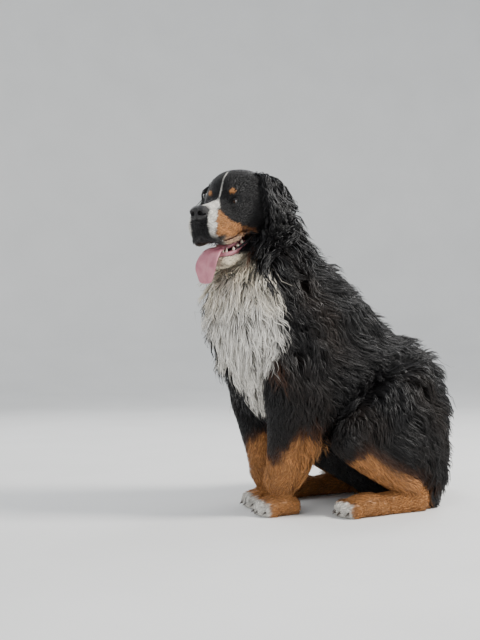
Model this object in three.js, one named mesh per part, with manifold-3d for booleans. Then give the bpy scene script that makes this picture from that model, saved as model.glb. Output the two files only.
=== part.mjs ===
// Bernese mountain dog sitting upright, life size, with its mouth open and its tongue out.
// Millimetres, +Z up. The dog faces -Y and its left side is +X. The feet, the seat and the tail
// lie on the floor at z = 0, and the origin is under the middle of the whole dog.
//
// Every body form is a loft of rings, out to the tips of the coat. Where the coat is long, the
// form is a core half way up the coat, with flat tapered locks fused to it.

import * as THREE from "three";
import { mergeVertices } from "three/addons/utils/BufferGeometryUtils.js";
import Module from "manifold-3d";

const wasm = await Module();
wasm.setup();

// Driving dimensions
const HEAD_CENTRE = [10, -106, 815]; // middle of the skull, from the point between the forepaws
const HEAD_TURN = 29; // degrees to the dog's left
const HEAD_DIP = 8; // degrees nose down
const FORE_STANCE = 60; // half the distance between the forepaws
const FORE_STEP = 12; // the left forepaw stands this far ahead, the right one as far behind
const HIND_STANCE = 166; // half the distance between the hind feet
const EYE_RADIUS = 13;
const EYE = { ahead: 65, out: 36, up: -13 };
const GAP = 0.3; // clearance between touching pieces
const CORE = 0.5; // the core's share of the depth of a long coat
const SEED = 44;

const COLOURS = {
  black: 0x17161a,
  white: 0xd9d6cf,
  rust: 0xa8622c,
  leather: 0x1c1b1d,
  flesh: 0xc98a94,
  eye: 0x2a1a10,
};

// Seeded random numbers from -1 to 1
let seedState = SEED;
function scatter() {
  seedState = (seedState + 0x6d2b79f5) | 0;
  let mixed = Math.imul(seedState ^ (seedState >>> 15), seedState | 1);
  mixed ^= mixed + Math.imul(mixed ^ (mixed >>> 7), mixed | 61);
  return ((mixed ^ (mixed >>> 14)) >>> 0) / 2 ** 31 - 1;
}

const radians = THREE.MathUtils.degToRad;
const vec = (x, y, z) => new THREE.Vector3(x, y, z);

// A closed surface, as positions and triangles, to a solid with its faces out
function solidFrom(positions, triangles) {
  const build = (triVerts) =>
    new wasm.Manifold(
      new wasm.Mesh({
        numProp: 3,
        vertProperties: new Float32Array(positions),
        triVerts: new Uint32Array(triVerts),
      }),
    );
  const made = build(triangles);
  return made.volume() > 0 ? made : build(triangles.toReversed());
}

// A three.js geometry, moved by a matrix, to a solid
function solidOf(geometry, matrix) {
  const bare = geometry.clone();
  bare.deleteAttribute("normal");
  bare.deleteAttribute("uv");
  if (matrix) bare.applyMatrix4(matrix);
  const merged = mergeVertices(bare, 1e-3);
  return solidFrom([...merged.attributes.position.array], [...merged.index.array]);
}

const join = (solids) => solids.reduce((whole, solid) => whole.add(solid));
const cut = (solid, cutters) => cutters.reduce((rest, cutter) => rest.subtract(cutter), solid);

// The largest closed surface of a solid, without loose scraps and sealed hollows
function largest(solid) {
  const pieces = solid.decompose();
  return pieces.reduce((best, piece) => (piece.volume() > best.volume() ? piece : best));
}

// An ellipsoid with its radii along X, Y and Z before it is turned
function ellipsoid(centre, radii, { across = 10, down = 7, turn = [0, 0, 0] } = {}) {
  const matrix = new THREE.Matrix4().compose(
    vec(...centre),
    new THREE.Quaternion().setFromEuler(new THREE.Euler(...turn.map(radians))),
    vec(...radii),
  );
  return solidOf(new THREE.SphereGeometry(1, across, down), matrix);
}

// Catmull-Rom value between the rows of a table, at a whole or broken row number
function between(rows, place) {
  const last = rows.length - 1;
  const start = Math.min(Math.max(Math.floor(place), 0), last - 1);
  const share = Math.min(Math.max(place - start, 0), 1);
  const row = (i) => rows[Math.min(Math.max(i, 0), last)];
  return rows[0].map((_, k) => {
    const [a, b, c, d] = [row(start - 1)[k], row(start)[k], row(start + 1)[k], row(start + 2)[k]];
    const bend = 2 * a - 5 * b + 4 * c - d + share * (3 * (b - c) + d - a);
    return b + 0.5 * share * (c - a + share * bend);
  });
}

// A closed solid over rings of equally many points, each end a single point or a flat ring
function loft(rings) {
  const count = rings[1].length;
  const starts = [];
  const positions = [];
  for (const ring of rings) {
    starts.push(positions.length / 3);
    positions.push(...ring.flatMap((point) => point.toArray()));
  }
  const triangles = [];
  rings.slice(1).forEach((ring, i) => {
    const [low, high] = [starts[i], starts[i + 1]];
    for (let j = 0; j < count; j += 1) {
      const next = (j + 1) % count;
      if (rings[i].length === 1) triangles.push(low, high + j, high + next);
      else if (ring.length === 1) triangles.push(low + j, high, low + next);
      else triangles.push(low + j, high + j, high + next, low + j, high + next, low + next);
    }
  });
  if (rings[0].length > 1) {
    for (let j = 1; j + 1 < count; j += 1) triangles.push(0, j, j + 1);
  }
  return solidFrom(positions, triangles);
}

// A body form: a loft of superellipse rings. A ring is given by its back and front points,
// [y, z] in the plane of X, with a half width, or by its centre and two half axes. `taper`
// narrows the back half of a ring, and `square` is the power of its superellipse, where 2 is
// round. `coat` is the depth of long coat at the back, front and sides. A dome closes each end.
class Form {
  constructor(rings, { sides = 14, domes = [20, 20], coat = [0, 0, 0] } = {}) {
    this.rows = rings.map((ring) => Form.row({ coat, ...ring }));
    this.last = rings.length - 1;
    Object.assign(this, { sides, domes });
  }

  static row({ x = 0, back, front, half, centre, wide, high, coat, taper = 0, square = 2.2 }) {
    if (centre) return [...centre, ...wide, ...high, ...coat, taper, square];
    const middle = [x, (back[0] + front[0]) / 2, (back[1] + front[1]) / 2];
    const up = [0, (back[0] - front[0]) / 2, (back[1] - front[1]) / 2];
    return [...middle, half, 0, 0, ...up, ...coat, taper, square];
  }

  // Centre, half axes, coat depths, taper and squareness at a place along the form
  ring(place) {
    const row = between(this.rows, place);
    const [centre, wide, high] = [0, 3, 6].map((k) => vec(row[k], row[k + 1], row[k + 2]));
    return { centre, wide, high, coat: row.slice(9, 12), taper: row[12], square: row[13] };
  }

  // The way out of the form at its first or last ring
  endNormal(end) {
    const { centre, wide, high } = this.ring(end);
    const inwards = this.ring(end === 0 ? 0.2 : end - 0.2).centre.sub(centre);
    const normal = wide.cross(high).normalize();
    return normal.dot(inwards) > 0 ? normal.negate() : normal;
  }

  // Point at a place and an angle round the ring, from the skin at level 0 to the outline at 1,
  // moved out by `grow`. Places run to 1 beyond either end, over the domes.
  point(place, angle, level = 1, grow = 0) {
    const inside = Math.min(Math.max(place, 0), this.last);
    const { centre, wide, high, coat, taper, square } = this.ring(inside);
    const beyond = Math.min(Math.abs(place - inside), 1) * (Math.PI / 2);
    const round = (value) => Math.sign(value) * Math.abs(value) ** (2 / square);
    const [across, along] = [round(Math.cos(angle)), round(Math.sin(angle))];
    const outwards = (depth) => grow - (1 - level) * depth;
    const [back, front, side] = coat.map(outwards);
    if (beyond > 0) {
      const depth = this.domes[place < 0 ? 0 : 1] + Math.min(back, side);
      centre.addScaledVector(this.endNormal(inside), Math.max(depth, 1) * Math.sin(beyond));
    }
    const narrow = 1 - taper * Math.max(along, 0);
    const shrink = Math.cos(beyond);
    return centre
      .addScaledVector(wide, across * narrow * shrink * (1 + side / wide.length()))
      .addScaledVector(high, along * shrink * (1 + (along > 0 ? back : front) / high.length()));
  }

  // The way out of the surface at a place and an angle
  normal(place, angle, level = 1) {
    const STEP = 0.05;
    const across = (a, b) => this.point(...a, level).sub(this.point(...b, level));
    const along = across([place + STEP, angle], [place - STEP, angle]);
    const round = across([place, angle + STEP], [place, angle - STEP]);
    const normal = along.cross(round).normalize();
    const middle = this.ring(Math.min(Math.max(place, 0), this.last)).centre;
    return normal.dot(this.point(place, angle).sub(middle)) < 0 ? normal.negate() : normal;
  }

  // Whether a point is inside the outline
  holds(point) {
    const SLICES = this.last * 5;
    return Array.from({ length: SLICES + 1 }, (_, i) => (i * this.last) / SLICES).some((place) => {
      const { centre, wide, high, square } = this.ring(place);
      const offset = point.clone().sub(centre);
      const normal = wide.clone().cross(high).normalize();
      const across = Math.abs(offset.dot(wide)) / wide.lengthSq();
      const along = Math.abs(offset.dot(high)) / high.lengthSq();
      const near = this.ring(Math.min(place + 0.2, this.last)).centre.distanceTo(centre) + 2;
      return Math.abs(offset.dot(normal)) < near && across ** square + along ** square < 1;
    });
  }

  // The closed solid at a level of the coat, moved out all round by `grow`
  solid(grow = 0, level = 1) {
    const DOME_RING = 0.6; // one more ring half way up each dome
    const inner = Array.from({ length: this.last + 1 }, (_, i) => i);
    const rings = [-DOME_RING, ...inner, this.last + DOME_RING].map((place) =>
      Array.from({ length: this.sides }, (_, j) =>
        this.point(place, ((j + 0.5) / this.sides) * Math.PI * 2, level, grow),
      ),
    );
    const pole = (place) => [this.point(place, 0, level, grow)];
    return loft([pole(-1), ...rings, pole(this.last + 1)]);
  }
}

// A lock: where it is rooted on a form, `run` places along it and `sweep` radians round it to
// its tip, its greatest half width and its thickness. It is rooted in the core, bends round the
// form, lies over the locks behind it and tapers to its tip at the outline.
const LOCK_STATIONS = [
  { share: 0, level: 0.1, width: 0.5, rise: 0.3 },
  { share: 0.34, level: 0.62, width: 1, rise: 1 },
  { share: 0.72, level: 0.84, width: 0.72, rise: 0.7 },
];
const LOCK_GAP = 0.5; // clearance round a lock that hangs over the next part
const DOME_END = 0.7; // how far over a dome the tips reach
const LOCK_REACH = 6; // no crest rises further than this out of an ear's outline

function lockAt({ place, angle, run, sweep, sway }, share) {
  const bend = sway * Math.sin(share * Math.PI);
  return [place + run * share, angle + sweep * share + bend];
}

// A lock's section has two edges, a crest, and an underside that lies along the form. Moved out
// by `grow`, it has upright sides.
function lockSection(form, lock, { share, level, width, rise }, grow) {
  const WIDEST = 0.7; // radians to each edge, where a form narrows to its end
  const [place, angle] = lockAt(lock, share);
  const across = form.point(place, angle + 0.1, level).distanceTo(form.point(place, angle - 0.1, level));
  const spread = Math.min((0.2 * lock.half * width) / across, WIDEST);
  const [left, right] = [-spread, spread].map((turn) => form.point(place, angle + turn, level));
  const outwards = form.normal(place, angle, level);
  const under = form.point(place, angle, level);
  const crest = under.clone().addScaledVector(outwards, lock.thick * rise);
  if (grow === 0) return [left, crest, right, under];
  const up = outwards.multiplyScalar(grow);
  const out = right.clone().sub(left).setLength(grow);
  left.sub(out);
  right.add(out);
  const high = [left, crest, right].map((corner) => corner.clone().add(up));
  return [...high, ...[right, under, left].map((corner) => corner.clone().sub(up))];
}

function lockSolid(form, lock, grow = 0) {
  const sections = LOCK_STATIONS.map((station) => lockSection(form, lock, station, grow));
  const tip = form.point(...lockAt(lock, 1));
  const { share, level } = LOCK_STATIONS.at(-1);
  const ahead = tip.clone().sub(form.point(...lockAt(lock, share), level));
  return loft([...sections, [tip.add(ahead.setLength(3 * grow))]]);
}

// Locks in staggered rows over a form. The first row is at place `from`, the last before `to`,
// and the rows are `pitch` apart. `arc` is the span of angles in degrees, `lie` the way of the
// tips: 1 towards the last ring or -1 towards the first, and `fall` how far they turn round the
// form. Locks whose middle is inside one of the forms in `avoid` are left out.
function locksOver(form, { from, to, pitch, half, length, thick, arc, lie = 1, fall, avoid }) {
  const [start, end] = arc.map(radians);
  const stride = (place, angle) =>
    form.point(place + 0.1, angle).distanceTo(form.point(place - 0.1, angle)) / 0.2;
  const locks = [];
  let place = from;
  for (let row = 0; place * lie < to * lie; row += 1) {
    const ring = form.ring(Math.min(Math.max(place, 0), form.last));
    const round = ((ring.wide.length() + ring.high.length()) / 2) * (end - start);
    const count = Math.max(Math.round(round / (half * 2.1)), 2);
    const strides = [];
    for (let i = 0; i < count; i += 1) {
      const angle = start + ((i + 0.5 + (row % 2) / 2) / count) * (end - start) + 0.03 * scatter();
      strides.push(stride(place, angle));
      const wave = Math.sin(2.3 * place + 2 * angle); // neighbours bend alike
      const root = place + 0.08 * scatter();
      const room = lie > 0 ? form.last + DOME_END - root : root + DOME_END;
      const lock = {
        place: root,
        angle,
        run: lie * Math.min((length * (1 + 0.12 * scatter())) / Math.max(strides[i], 30), room),
        sweep: fall(angle, place) + 0.06 * wave,
        sway: 0.06 * wave,
        half: half * (1 + 0.08 * scatter()),
        thick,
      };
      const middle = form.point(...lockAt(lock, 0.6), 0.8);
      if (angle <= end && !avoid(middle, angle, place)) locks.push(lock);
    }
    place += (lie * pitch) / (strides.reduce((sum, value) => sum + value, 0) / count);
  }
  return locks;
}

// The solid of a form with its locks, and the same moved out to cut its neighbours clear
const coated = (form, locks, grow = 0) =>
  join([form.solid(grow, CORE), ...locks.map((lock) => lockSolid(form, lock, grow))]);

// The stretch of a form's solid between two of its rings, short of each by half a gap
function stretch(form, solid, [from, to]) {
  const REACH = 1400;
  const beyond = (place, way) => {
    const end = Math.min(Math.max(place, 0), form.last);
    const { centre, wide, high } = form.ring(end);
    const ahead = form.ring(end + 0.1).centre.sub(form.ring(end - 0.1).centre);
    const normal = wide.clone().cross(high).normalize();
    if (normal.dot(ahead) * way < 0) normal.negate();
    const axes = [wide.normalize(), high.normalize(), normal];
    const middle = centre.clone().addScaledVector(normal, REACH / 2 - GAP / 2);
    const matrix = new THREE.Matrix4().makeBasis(...axes).setPosition(middle);
    return solidOf(new THREE.BoxGeometry(REACH, REACH, REACH), matrix);
  };
  const cutters = [];
  if (from > 0) cutters.push(beyond(from, -1));
  if (to < form.last) cutters.push(beyond(to, 1));
  return cut(solid, cutters);
}

// A coated form parted at rings, as solids by name. Each part keeps the whole of the locks that
// are rooted in it, and is cut clear of those that hang over it from the part before.
function parted(form, locks, parts) {
  const core = form.solid(0, CORE);
  const made = {};
  let before = [];
  for (const [name, [from, to]] of Object.entries(parts)) {
    const own = locks.filter(({ place }) => place >= from && place < to);
    const pieces = own.map((lock) => stretch(form, lockSolid(form, lock), [from, form.last]));
    const over = before.filter(({ place, run }) => place + run > from);
    const cutters = over.map((lock) => lockSolid(form, lock, LOCK_GAP));
    made[name] = cut(join([stretch(form, core, [from, to]), ...pieces]), cutters);
    before = own;
  }
  return made;
}

// TRUNK: neck, chest, loin and rump are one form from the nape to the seat
const trunk = new Form(
  [
    { back: [32, 834], front: [-112, 715], half: 104, coat: [40, 30, 36] },
    { back: [66, 784], front: [-150, 652], half: 124, coat: [50, 44, 44] },
    { back: [97, 718], front: [-190, 590], half: 144, coat: [46, 56, 46] },
    { back: [134, 663], front: [-203, 532], half: 163, coat: [38, 60, 44] },
    { back: [197, 608], front: [-188, 450], half: 176, coat: [36, 56, 42] },
    { back: [250, 562], front: [-152, 362], half: 176, coat: [36, 50, 40] },
    { back: [300, 520], front: [-95, 272], half: 170, coat: [36, 44, 38] },
    { back: [340, 484], front: [0, 200], half: 162, coat: [36, 20, 38] },
    { back: [376, 460], front: [105, 130], half: 160, coat: [38, 0, 38] },
    { back: [422, 460], front: [200, 72], half: 158, coat: [42, 0, 38] },
    { back: [466, 430], front: [268, 30], half: 150, coat: [44, 0, 38] },
    { back: [488, 372], front: [312, 6], half: 138, coat: [46, 0, 38] },
    { back: [494, 284], front: [335, -8], half: 118, coat: [46, 0, 36] },
    { back: [482, 160], front: [350, -14], half: 88, coat: [46, 0, 30] },
  ],
  { sides: 16, domes: [24, 30] },
);
const TRUNK_PARTS = { neck: [-2, 3], chest: [3, 6], loin: [6, 9], rump: [9, 15] }; // ring to ring

// FORELEGS: one form each from the shoulder to the pastern, then the paw. The long hair of the
// forearm hangs from its back.
const FORELEG_PARTS = { upper_foreleg: [-2, 3], lower_foreleg: [3, 9] };

function forelegForms(side) {
  const x = (out) => side * out;
  const step = side * -FORE_STEP;
  const leg = new Form(
    [
      { x: x(98), back: [80, 456], front: [-92, 450], half: 50, coat: [24, 20, 30] },
      { x: x(110), back: [100, 384], front: [-100, 376], half: 66, coat: [30, 22, 32] },
      { x: x(106), back: [112, 310], front: [-84, 302], half: 65, coat: [38, 14, 24] },
      { x: x(94), back: [113, 244], front: [-66, 238], half: 57, coat: [46, 0, 8] },
      { x: x(82), back: [103 + step / 3, 180], front: [-56 + step / 3, 174], half: 50, coat: [48, 0, 4] },
      { x: x(72), back: [86 + step / 1.5, 126], front: [-50 + step / 1.5, 126], half: 45, coat: [36, 0, 0] },
      { x: x(FORE_STANCE + 4), back: [54 + step, 82], front: [-50 + step, 88], half: 43, coat: [12, 0, 0] },
      { x: x(FORE_STANCE), back: [38 + step, 50], front: [-54 + step, 56], half: 42 },
    ],
    { domes: [30, 8] },
  );
  return { leg, paw: { x: x(FORE_STANCE), heel: 34 + step, toe: -78 + step } };
}

// HIND LEGS, folded: the knee is up in front and the foot lies along the floor
function hindLegForms(side) {
  const x = (out) => side * out;
  const thigh = new Form(
    [
      { x: x(112), back: [434, 322], front: [440, 56], half: 52, coat: [30, 10, 34] },
      { x: x(126), back: [398, 396], front: [404, -8], half: 76, coat: [36, 0, 38] },
      { x: x(136), back: [338, 414], front: [344, -14], half: 88, coat: [36, 0, 38] },
      { x: x(142), back: [268, 392], front: [288, 44], half: 90, coat: [34, 12, 36] },
      { x: x(146), back: [200, 344], front: [228, 92], half: 82, coat: [30, 20, 32] },
      { x: x(148), back: [140, 290], front: [168, 130], half: 68, coat: [24, 20, 26] },
      { x: x(150), back: [104, 244], front: [124, 168], half: 46, coat: [14, 14, 16] },
    ],
    { domes: [18, 18] },
  );
  const shank = new Form(
    [
      { x: x(150), back: [142, 238], front: [94, 162], half: 46 },
      { x: x(156), back: [211, 195], front: [159, 113], half: 48 },
      { x: x(162), back: [278, 147], front: [232, 70], half: 42 },
      { x: x(HIND_STANCE), back: [334, 104], front: [300, 30], half: 36 },
    ],
    { sides: 10, domes: [16, 24] },
  );
  const instep = new Form(
    [
      { x: x(HIND_STANCE), back: [346, 74], front: [346, -8], half: 30 },
      { x: x(HIND_STANCE), back: [290, 60], front: [290, -8], half: 31 },
      { x: x(HIND_STANCE), back: [200, 52], front: [200, -8], half: 35 },
    ],
    { sides: 10, domes: [16, 10] },
  );
  return { thigh, shank, instep, hindPaw: { x: x(HIND_STANCE), heel: 222, toe: 88 } };
}

// A paw: the foot's form from its heel to the toes, then four toes with claws
const PAW = { half: 44, height: 58, toeRadii: [12.8, 25, 24], clawRadius: 4, clawLength: 18 };

function pawSolid({ x, heel, toe }, grow = 0) {
  const { half, height, toeRadii, clawRadius, clawLength } = PAW;
  const rows = [
    { along: 0, top: 0.86, wide: 0.88 },
    { along: 0.3, top: 1, wide: 0.96 },
    { along: 0.62, top: 0.86, wide: 0.98 },
    { along: 0.82, top: 0.6, wide: 0.86 },
  ];
  const foot = new Form(
    rows.map(({ along, top, wide }) => {
      const y = heel - along * (heel - toe);
      return { x, back: [y, height * top], front: [y, -8], half: half * wide };
    }),
    { sides: 10, domes: [12, 10] },
  );
  const toes = [-1.5, -0.5, 0.5, 1.5].flatMap((place) => {
    const back = Math.abs(place) > 1 ? 12 : 0; // the outer toes stand back
    const centre = [x + place * half * 0.49, toe + toeRadii[1] + back, height * 0.32];
    const claw = new THREE.Matrix4()
      .makeTranslation(centre[0], toe + back - 1, height * 0.17)
      .multiply(new THREE.Matrix4().makeRotationX(radians(208)));
    return [
      ellipsoid(centre, toeRadii.map((radius) => radius + grow), { across: 6, down: 4 }),
      solidOf(new THREE.ConeGeometry(clawRadius + grow, clawLength + 2 * grow, 4), claw),
    ];
  });
  return join([foot.solid(grow), ...toes]);
}

// TAIL: laid on the floor and curled round the right haunch
const TAIL = [
  { at: [8, 452, 98], radius: 40 },
  { at: [-26, 504, 68], radius: 50 },
  { at: [-92, 542, 52], radius: 54 },
  { at: [-168, 534, 50], radius: 54 },
  { at: [-234, 482, 48], radius: 50 },
  { at: [-270, 404, 44], radius: 42 },
  { at: [-288, 330, 36], radius: 26 },
];
const TAIL_PARTS = { tail_root: [-2, 3], tail_tip: [3, 8] };
const tail = new Form(
  TAIL.map(({ at, radius }, i) => {
    const before = vec(...TAIL[Math.max(i - 1, 0)].at);
    const after = vec(...TAIL[Math.min(i + 1, TAIL.length - 1)].at);
    const along = after.sub(before).setZ(0).normalize();
    const wide = along.cross(vec(0, 0, 1)).multiplyScalar(radius);
    const coat = [radius * 0.6, 0, radius * 0.6];
    return { centre: at, wide: wide.toArray(), high: [0, 0, radius], coat };
  }),
  { sides: 12, domes: [16, 34] },
);

// HEAD, in its own frame: x to the left, y = -ahead, z up, from the middle of the skull
const headFrame = new THREE.Matrix4()
  .makeTranslation(...HEAD_CENTRE)
  .multiply(new THREE.Matrix4().makeRotationZ(radians(HEAD_TURN)))
  .multiply(new THREE.Matrix4().makeRotationX(radians(HEAD_DIP)));
const onBody = (solid) => solid.transform(headFrame.elements);

// Rings across the head from rows of: ahead, top, bottom, half width, taper, squareness
const acrossHead = (rows) =>
  rows.map(([ahead, top, bottom, half, taper, square]) => ({
    back: [-ahead, top],
    front: [-ahead, bottom],
    half,
    taper,
    square,
  }));

const skull = new Form(
  acrossHead([
    [-72, 14, -66, 58, 0, 2.2],
    [-44, 56, -96, 80, 0.05, 2.3],
    [-5, 70, -108, 87, 0.08, 2.4],
    [32, 69, -104, 84, 0.1, 2.4],
    [56, 59, -98, 76, 0.18, 2.4],
    [69, 46, -100, 68, 0.3, 2.5],
    [78, 28, -102, 61, 0.38, 2.6],
    [86, 10, -105, 56, 0.43, 2.8],
    [96, -1, -108, 52, 0.43, 3],
    [118, -8, -113, 47, 0.39, 3.2],
    [142, -11, -114, 46, 0.36, 3.2],
    [162, -14, -110, 43, 0.34, 3.1],
    [175, -18, -99, 38, 0.3, 2.8],
  ]),
  { sides: 16, domes: [18, 8] },
);

const mouthSpace = new Form(
  acrossHead([
    [30, -84, -140, 24, 0, 3],
    [70, -74, -150, 31, 0, 3],
    [110, -72, -150, 32, 0, 3],
    [140, -74, -150, 30, 0, 3],
    [160, -80, -140, 24, 0, 3],
  ]),
  { sides: 8, domes: [8, 5] },
);

const jawForm = new Form(
  acrossHead([
    [6, -84, -136, 56, 0, 2.3],
    [42, -106, -157, 47, 0, 2.4],
    [76, -127, -172, 38, 0, 2.4],
    [102, -136, -177, 32, 0, 2.4],
    [120, -142, -172, 23, 0, 2.4],
  ]),
  { sides: 12, domes: [14, 8] },
);

const noseForm = new Form(
  acrossHead([
    [158, -18, -44, 17, 0, 2.4],
    [168, -14, -50, 23, 0.1, 2.5],
    [178, -15, -51, 24, 0.15, 2.5],
    [185, -21, -49, 19, 0.1, 2.3],
  ]),
  { sides: 10, domes: [4, 4] },
);
const nostril = (side) =>
  ellipsoid([side * 12, -189, -34], [6.5, 12, 6], { across: 6, down: 4, turn: [0, 0, side * 24] });

const TONGUE = [
  { ahead: 34, up: -112, out: 2, half: 20, thick: 9 },
  { ahead: 74, up: -118, out: 2, half: 23, thick: 8 },
  { ahead: 106, up: -125, out: 2, half: 16, thick: 6 },
  { ahead: 134, up: -127, out: 3, half: 26, thick: 6 },
  { ahead: 154, up: -142, out: 2, half: 31, thick: 6 },
  { ahead: 163, up: -170, out: -3, half: 31, thick: 5 },
  { ahead: 163, up: -199, out: -8, half: 21, thick: 4 },
];
const tongueForm = new Form(
  TONGUE.map(({ ahead, up, out, half, thick }, i) => {
    const before = TONGUE[Math.max(i - 1, 0)];
    const after = TONGUE[Math.min(i + 1, TONGUE.length - 1)];
    const along = vec(0, before.ahead - after.ahead, after.up - before.up).normalize();
    const high = vec(1, 0, 0).cross(along).multiplyScalar(thick).toArray();
    return { centre: [out, -ahead, up], wide: [half, 0, 0], high, square: 2.6 };
  }),
  { sides: 8, domes: [4, 9] },
);

// The ear hangs from above and behind the eye, flat against the cheek, to a rounded tip
function earForm(side) {
  const rows = [
    { up: 56, ahead: -14, out: 58, broad: 32, thick: 10 },
    { up: 40, ahead: -18, out: 80, broad: 50, thick: 13 },
    { up: 8, ahead: -22, out: 94, broad: 61, thick: 15 },
    { up: -30, ahead: -19, out: 101, broad: 62, thick: 16 },
    { up: -66, ahead: -11, out: 103, broad: 53, thick: 15 },
    { up: -92, ahead: 2, out: 101, broad: 31, thick: 11 },
  ];
  return new Form(
    rows.map(({ up, ahead, out, broad, thick }) => ({
      centre: [side * out, -ahead, up],
      wide: [0, side * broad, 0],
      high: [side * thick, 0, 0],
    })),
    { sides: 10, domes: [8, 14], coat: [12, 0, 22] },
  );
}

const eyeball = (side, grow = 0) => {
  const radii = Array(3).fill(EYE_RADIUS + grow);
  return ellipsoid([side * EYE.out, -EYE.ahead, EYE.up], radii, { across: 10, down: 7 });
};

// The hollow between the brow, the cheek and the bridge of the nose, in front of each eye
const socket = (side) =>
  ellipsoid([side * 42, -92, -8], [17, 18, 15], { turn: [0, 0, side * 30] });

// Both lids of an eye as one almond ridge
function lids(side) {
  const matrix = new THREE.Matrix4()
    .makeTranslation(side * (EYE.out + 3), -EYE.ahead - 6, EYE.up)
    .multiply(new THREE.Matrix4().makeRotationZ(radians(side * 30)))
    .multiply(new THREE.Matrix4().makeRotationX(radians(90)))
    .multiply(new THREE.Matrix4().makeScale(1.12, 0.82, 1));
  return solidOf(new THREE.TorusGeometry(EYE_RADIUS - 1, 4, 4, 12), matrix);
}

// A rounded ridge along a line, such as a lip
function ridge(line, radius) {
  const SECTIONS = 7;
  const places = new THREE.CatmullRomCurve3(line.map((p) => vec(...p))).getPoints(SECTIONS);
  const rings = places.map((centre, i) => {
    const after = places[Math.min(i + 1, SECTIONS)];
    const along = after.clone().sub(places[Math.max(i - 1, 0)]).normalize();
    const wide = along.clone().cross(vec(0, 0, 1)).normalize();
    const high = wide.clone().cross(along);
    return {
      centre: centre.toArray(),
      wide: wide.multiplyScalar(radius).toArray(),
      high: high.multiplyScalar(radius).toArray(),
    };
  });
  return new Form(rings, { sides: 4, domes: [radius, radius] });
}

const upperLip = (side) =>
  ridge(
    [
      [side * 60, -24, -93],
      [side * 50, -62, -92],
      [side * 43, -100, -108],
      [side * 38, -140, -112],
      [side * 28, -168, -105],
      [side * 5, -178, -90],
    ],
    6,
  );

const lowerLip = (side) =>
  ridge(
    [
      [side * 50, -26, -98],
      [side * 42, -56, -117],
      [side * 32, -88, -132],
      [side * 22, -112, -140],
      [side * 6, -122, -143],
    ],
    4.5,
  );

// A tooth is a cone with its root sunk in the gum
function tooth({ x, ahead, up, radius, height, rising }, grow) {
  const cone = new THREE.ConeGeometry(radius + grow, height + 2 * grow, 5);
  cone.rotateX(rising ? Math.PI / 2 : -Math.PI / 2);
  return solidOf(cone, new THREE.Matrix4().makeTranslation(x, -ahead, up));
}

const LOWER_TEETH = { canine: [22, 108, -131], cheek: [30, 88, -127], step: [3, -15, 7.5], rising: true };
const UPPER_TEETH = { canine: [24, 150, -86], cheek: [30, 128, -82], step: [1, -15, 0], rising: false };

function teeth({ canine, cheek, step, rising }, grow = 0) {
  return [-1, 1].flatMap((side) => {
    const at = ([x, ahead, up]) => ({ x: side * x, ahead, up, rising });
    const molars = [0, 1, 2].map((i) =>
      tooth({ ...at(cheek.map((value, k) => value + i * step[k])), radius: 6, height: 20 }, grow),
    );
    return [tooth({ ...at(canine), radius: 5, height: 26 }, grow), ...molars];
  });
}

// Each sub-part as a solid. Those that keep their whole shape come first, and each later one
// is cut clear of the earlier ones that it touches.
const SIDES = { left: 1, right: -1 };
const solids = {};
const headSolids = {};
const floor = solidOf(
  new THREE.BoxGeometry(2400, 2400, 200),
  new THREE.Matrix4().makeTranslation(0, 0, -100),
);

const solidsOf = (forms, grow) => forms.map((form) => form.solid(grow));
const faceForms = [skull, upperLip(1), upperLip(-1)];
const jawForms = [jawForm, lowerLip(1), lowerLip(-1)];
const openings = [mouthSpace.solid(), socket(1), socket(-1)];
headSolids.nose = cut(noseForm.solid(), [nostril(1), nostril(-1)]);
headSolids.tongue = tongueForm.solid();
headSolids.lower_jaw = cut(join([...solidsOf(jawForms, 0), ...teeth(LOWER_TEETH)]), [
  tongueForm.solid(GAP),
]);
const openFace = cut(join(solidsOf(faceForms, 0)), openings);
headSolids.head = cut(join([openFace, lids(1), lids(-1), ...teeth(UPPER_TEETH)]), [
  ...solidsOf([...jawForms, noseForm], GAP),
  eyeball(1, GAP),
  eyeball(-1, GAP),
]);
const earCutters = [];
for (const [name, side] of Object.entries(SIDES)) {
  const form = earForm(side);
  const locks = locksOver(form, {
    from: 1,
    to: 4.4,
    pitch: 54,
    half: 30,
    length: 95,
    thick: 5,
    arc: [-10, 190],
    fall: () => 0,
    avoid: () => false,
  });
  headSolids[`eye_${name}`] = eyeball(side);
  headSolids[`ear_${name}`] = cut(coated(form, locks), [skull.solid(GAP)]);
  earCutters.push(form.solid(LOCK_REACH));
}
const headForms = [...faceForms, ...jawForms, mouthSpace];
const lowerTeeth = teeth(LOWER_TEETH, GAP);
const headCutter = onBody(join([...solidsOf(headForms, GAP), ...lowerTeeth, ...earCutters]));

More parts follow.
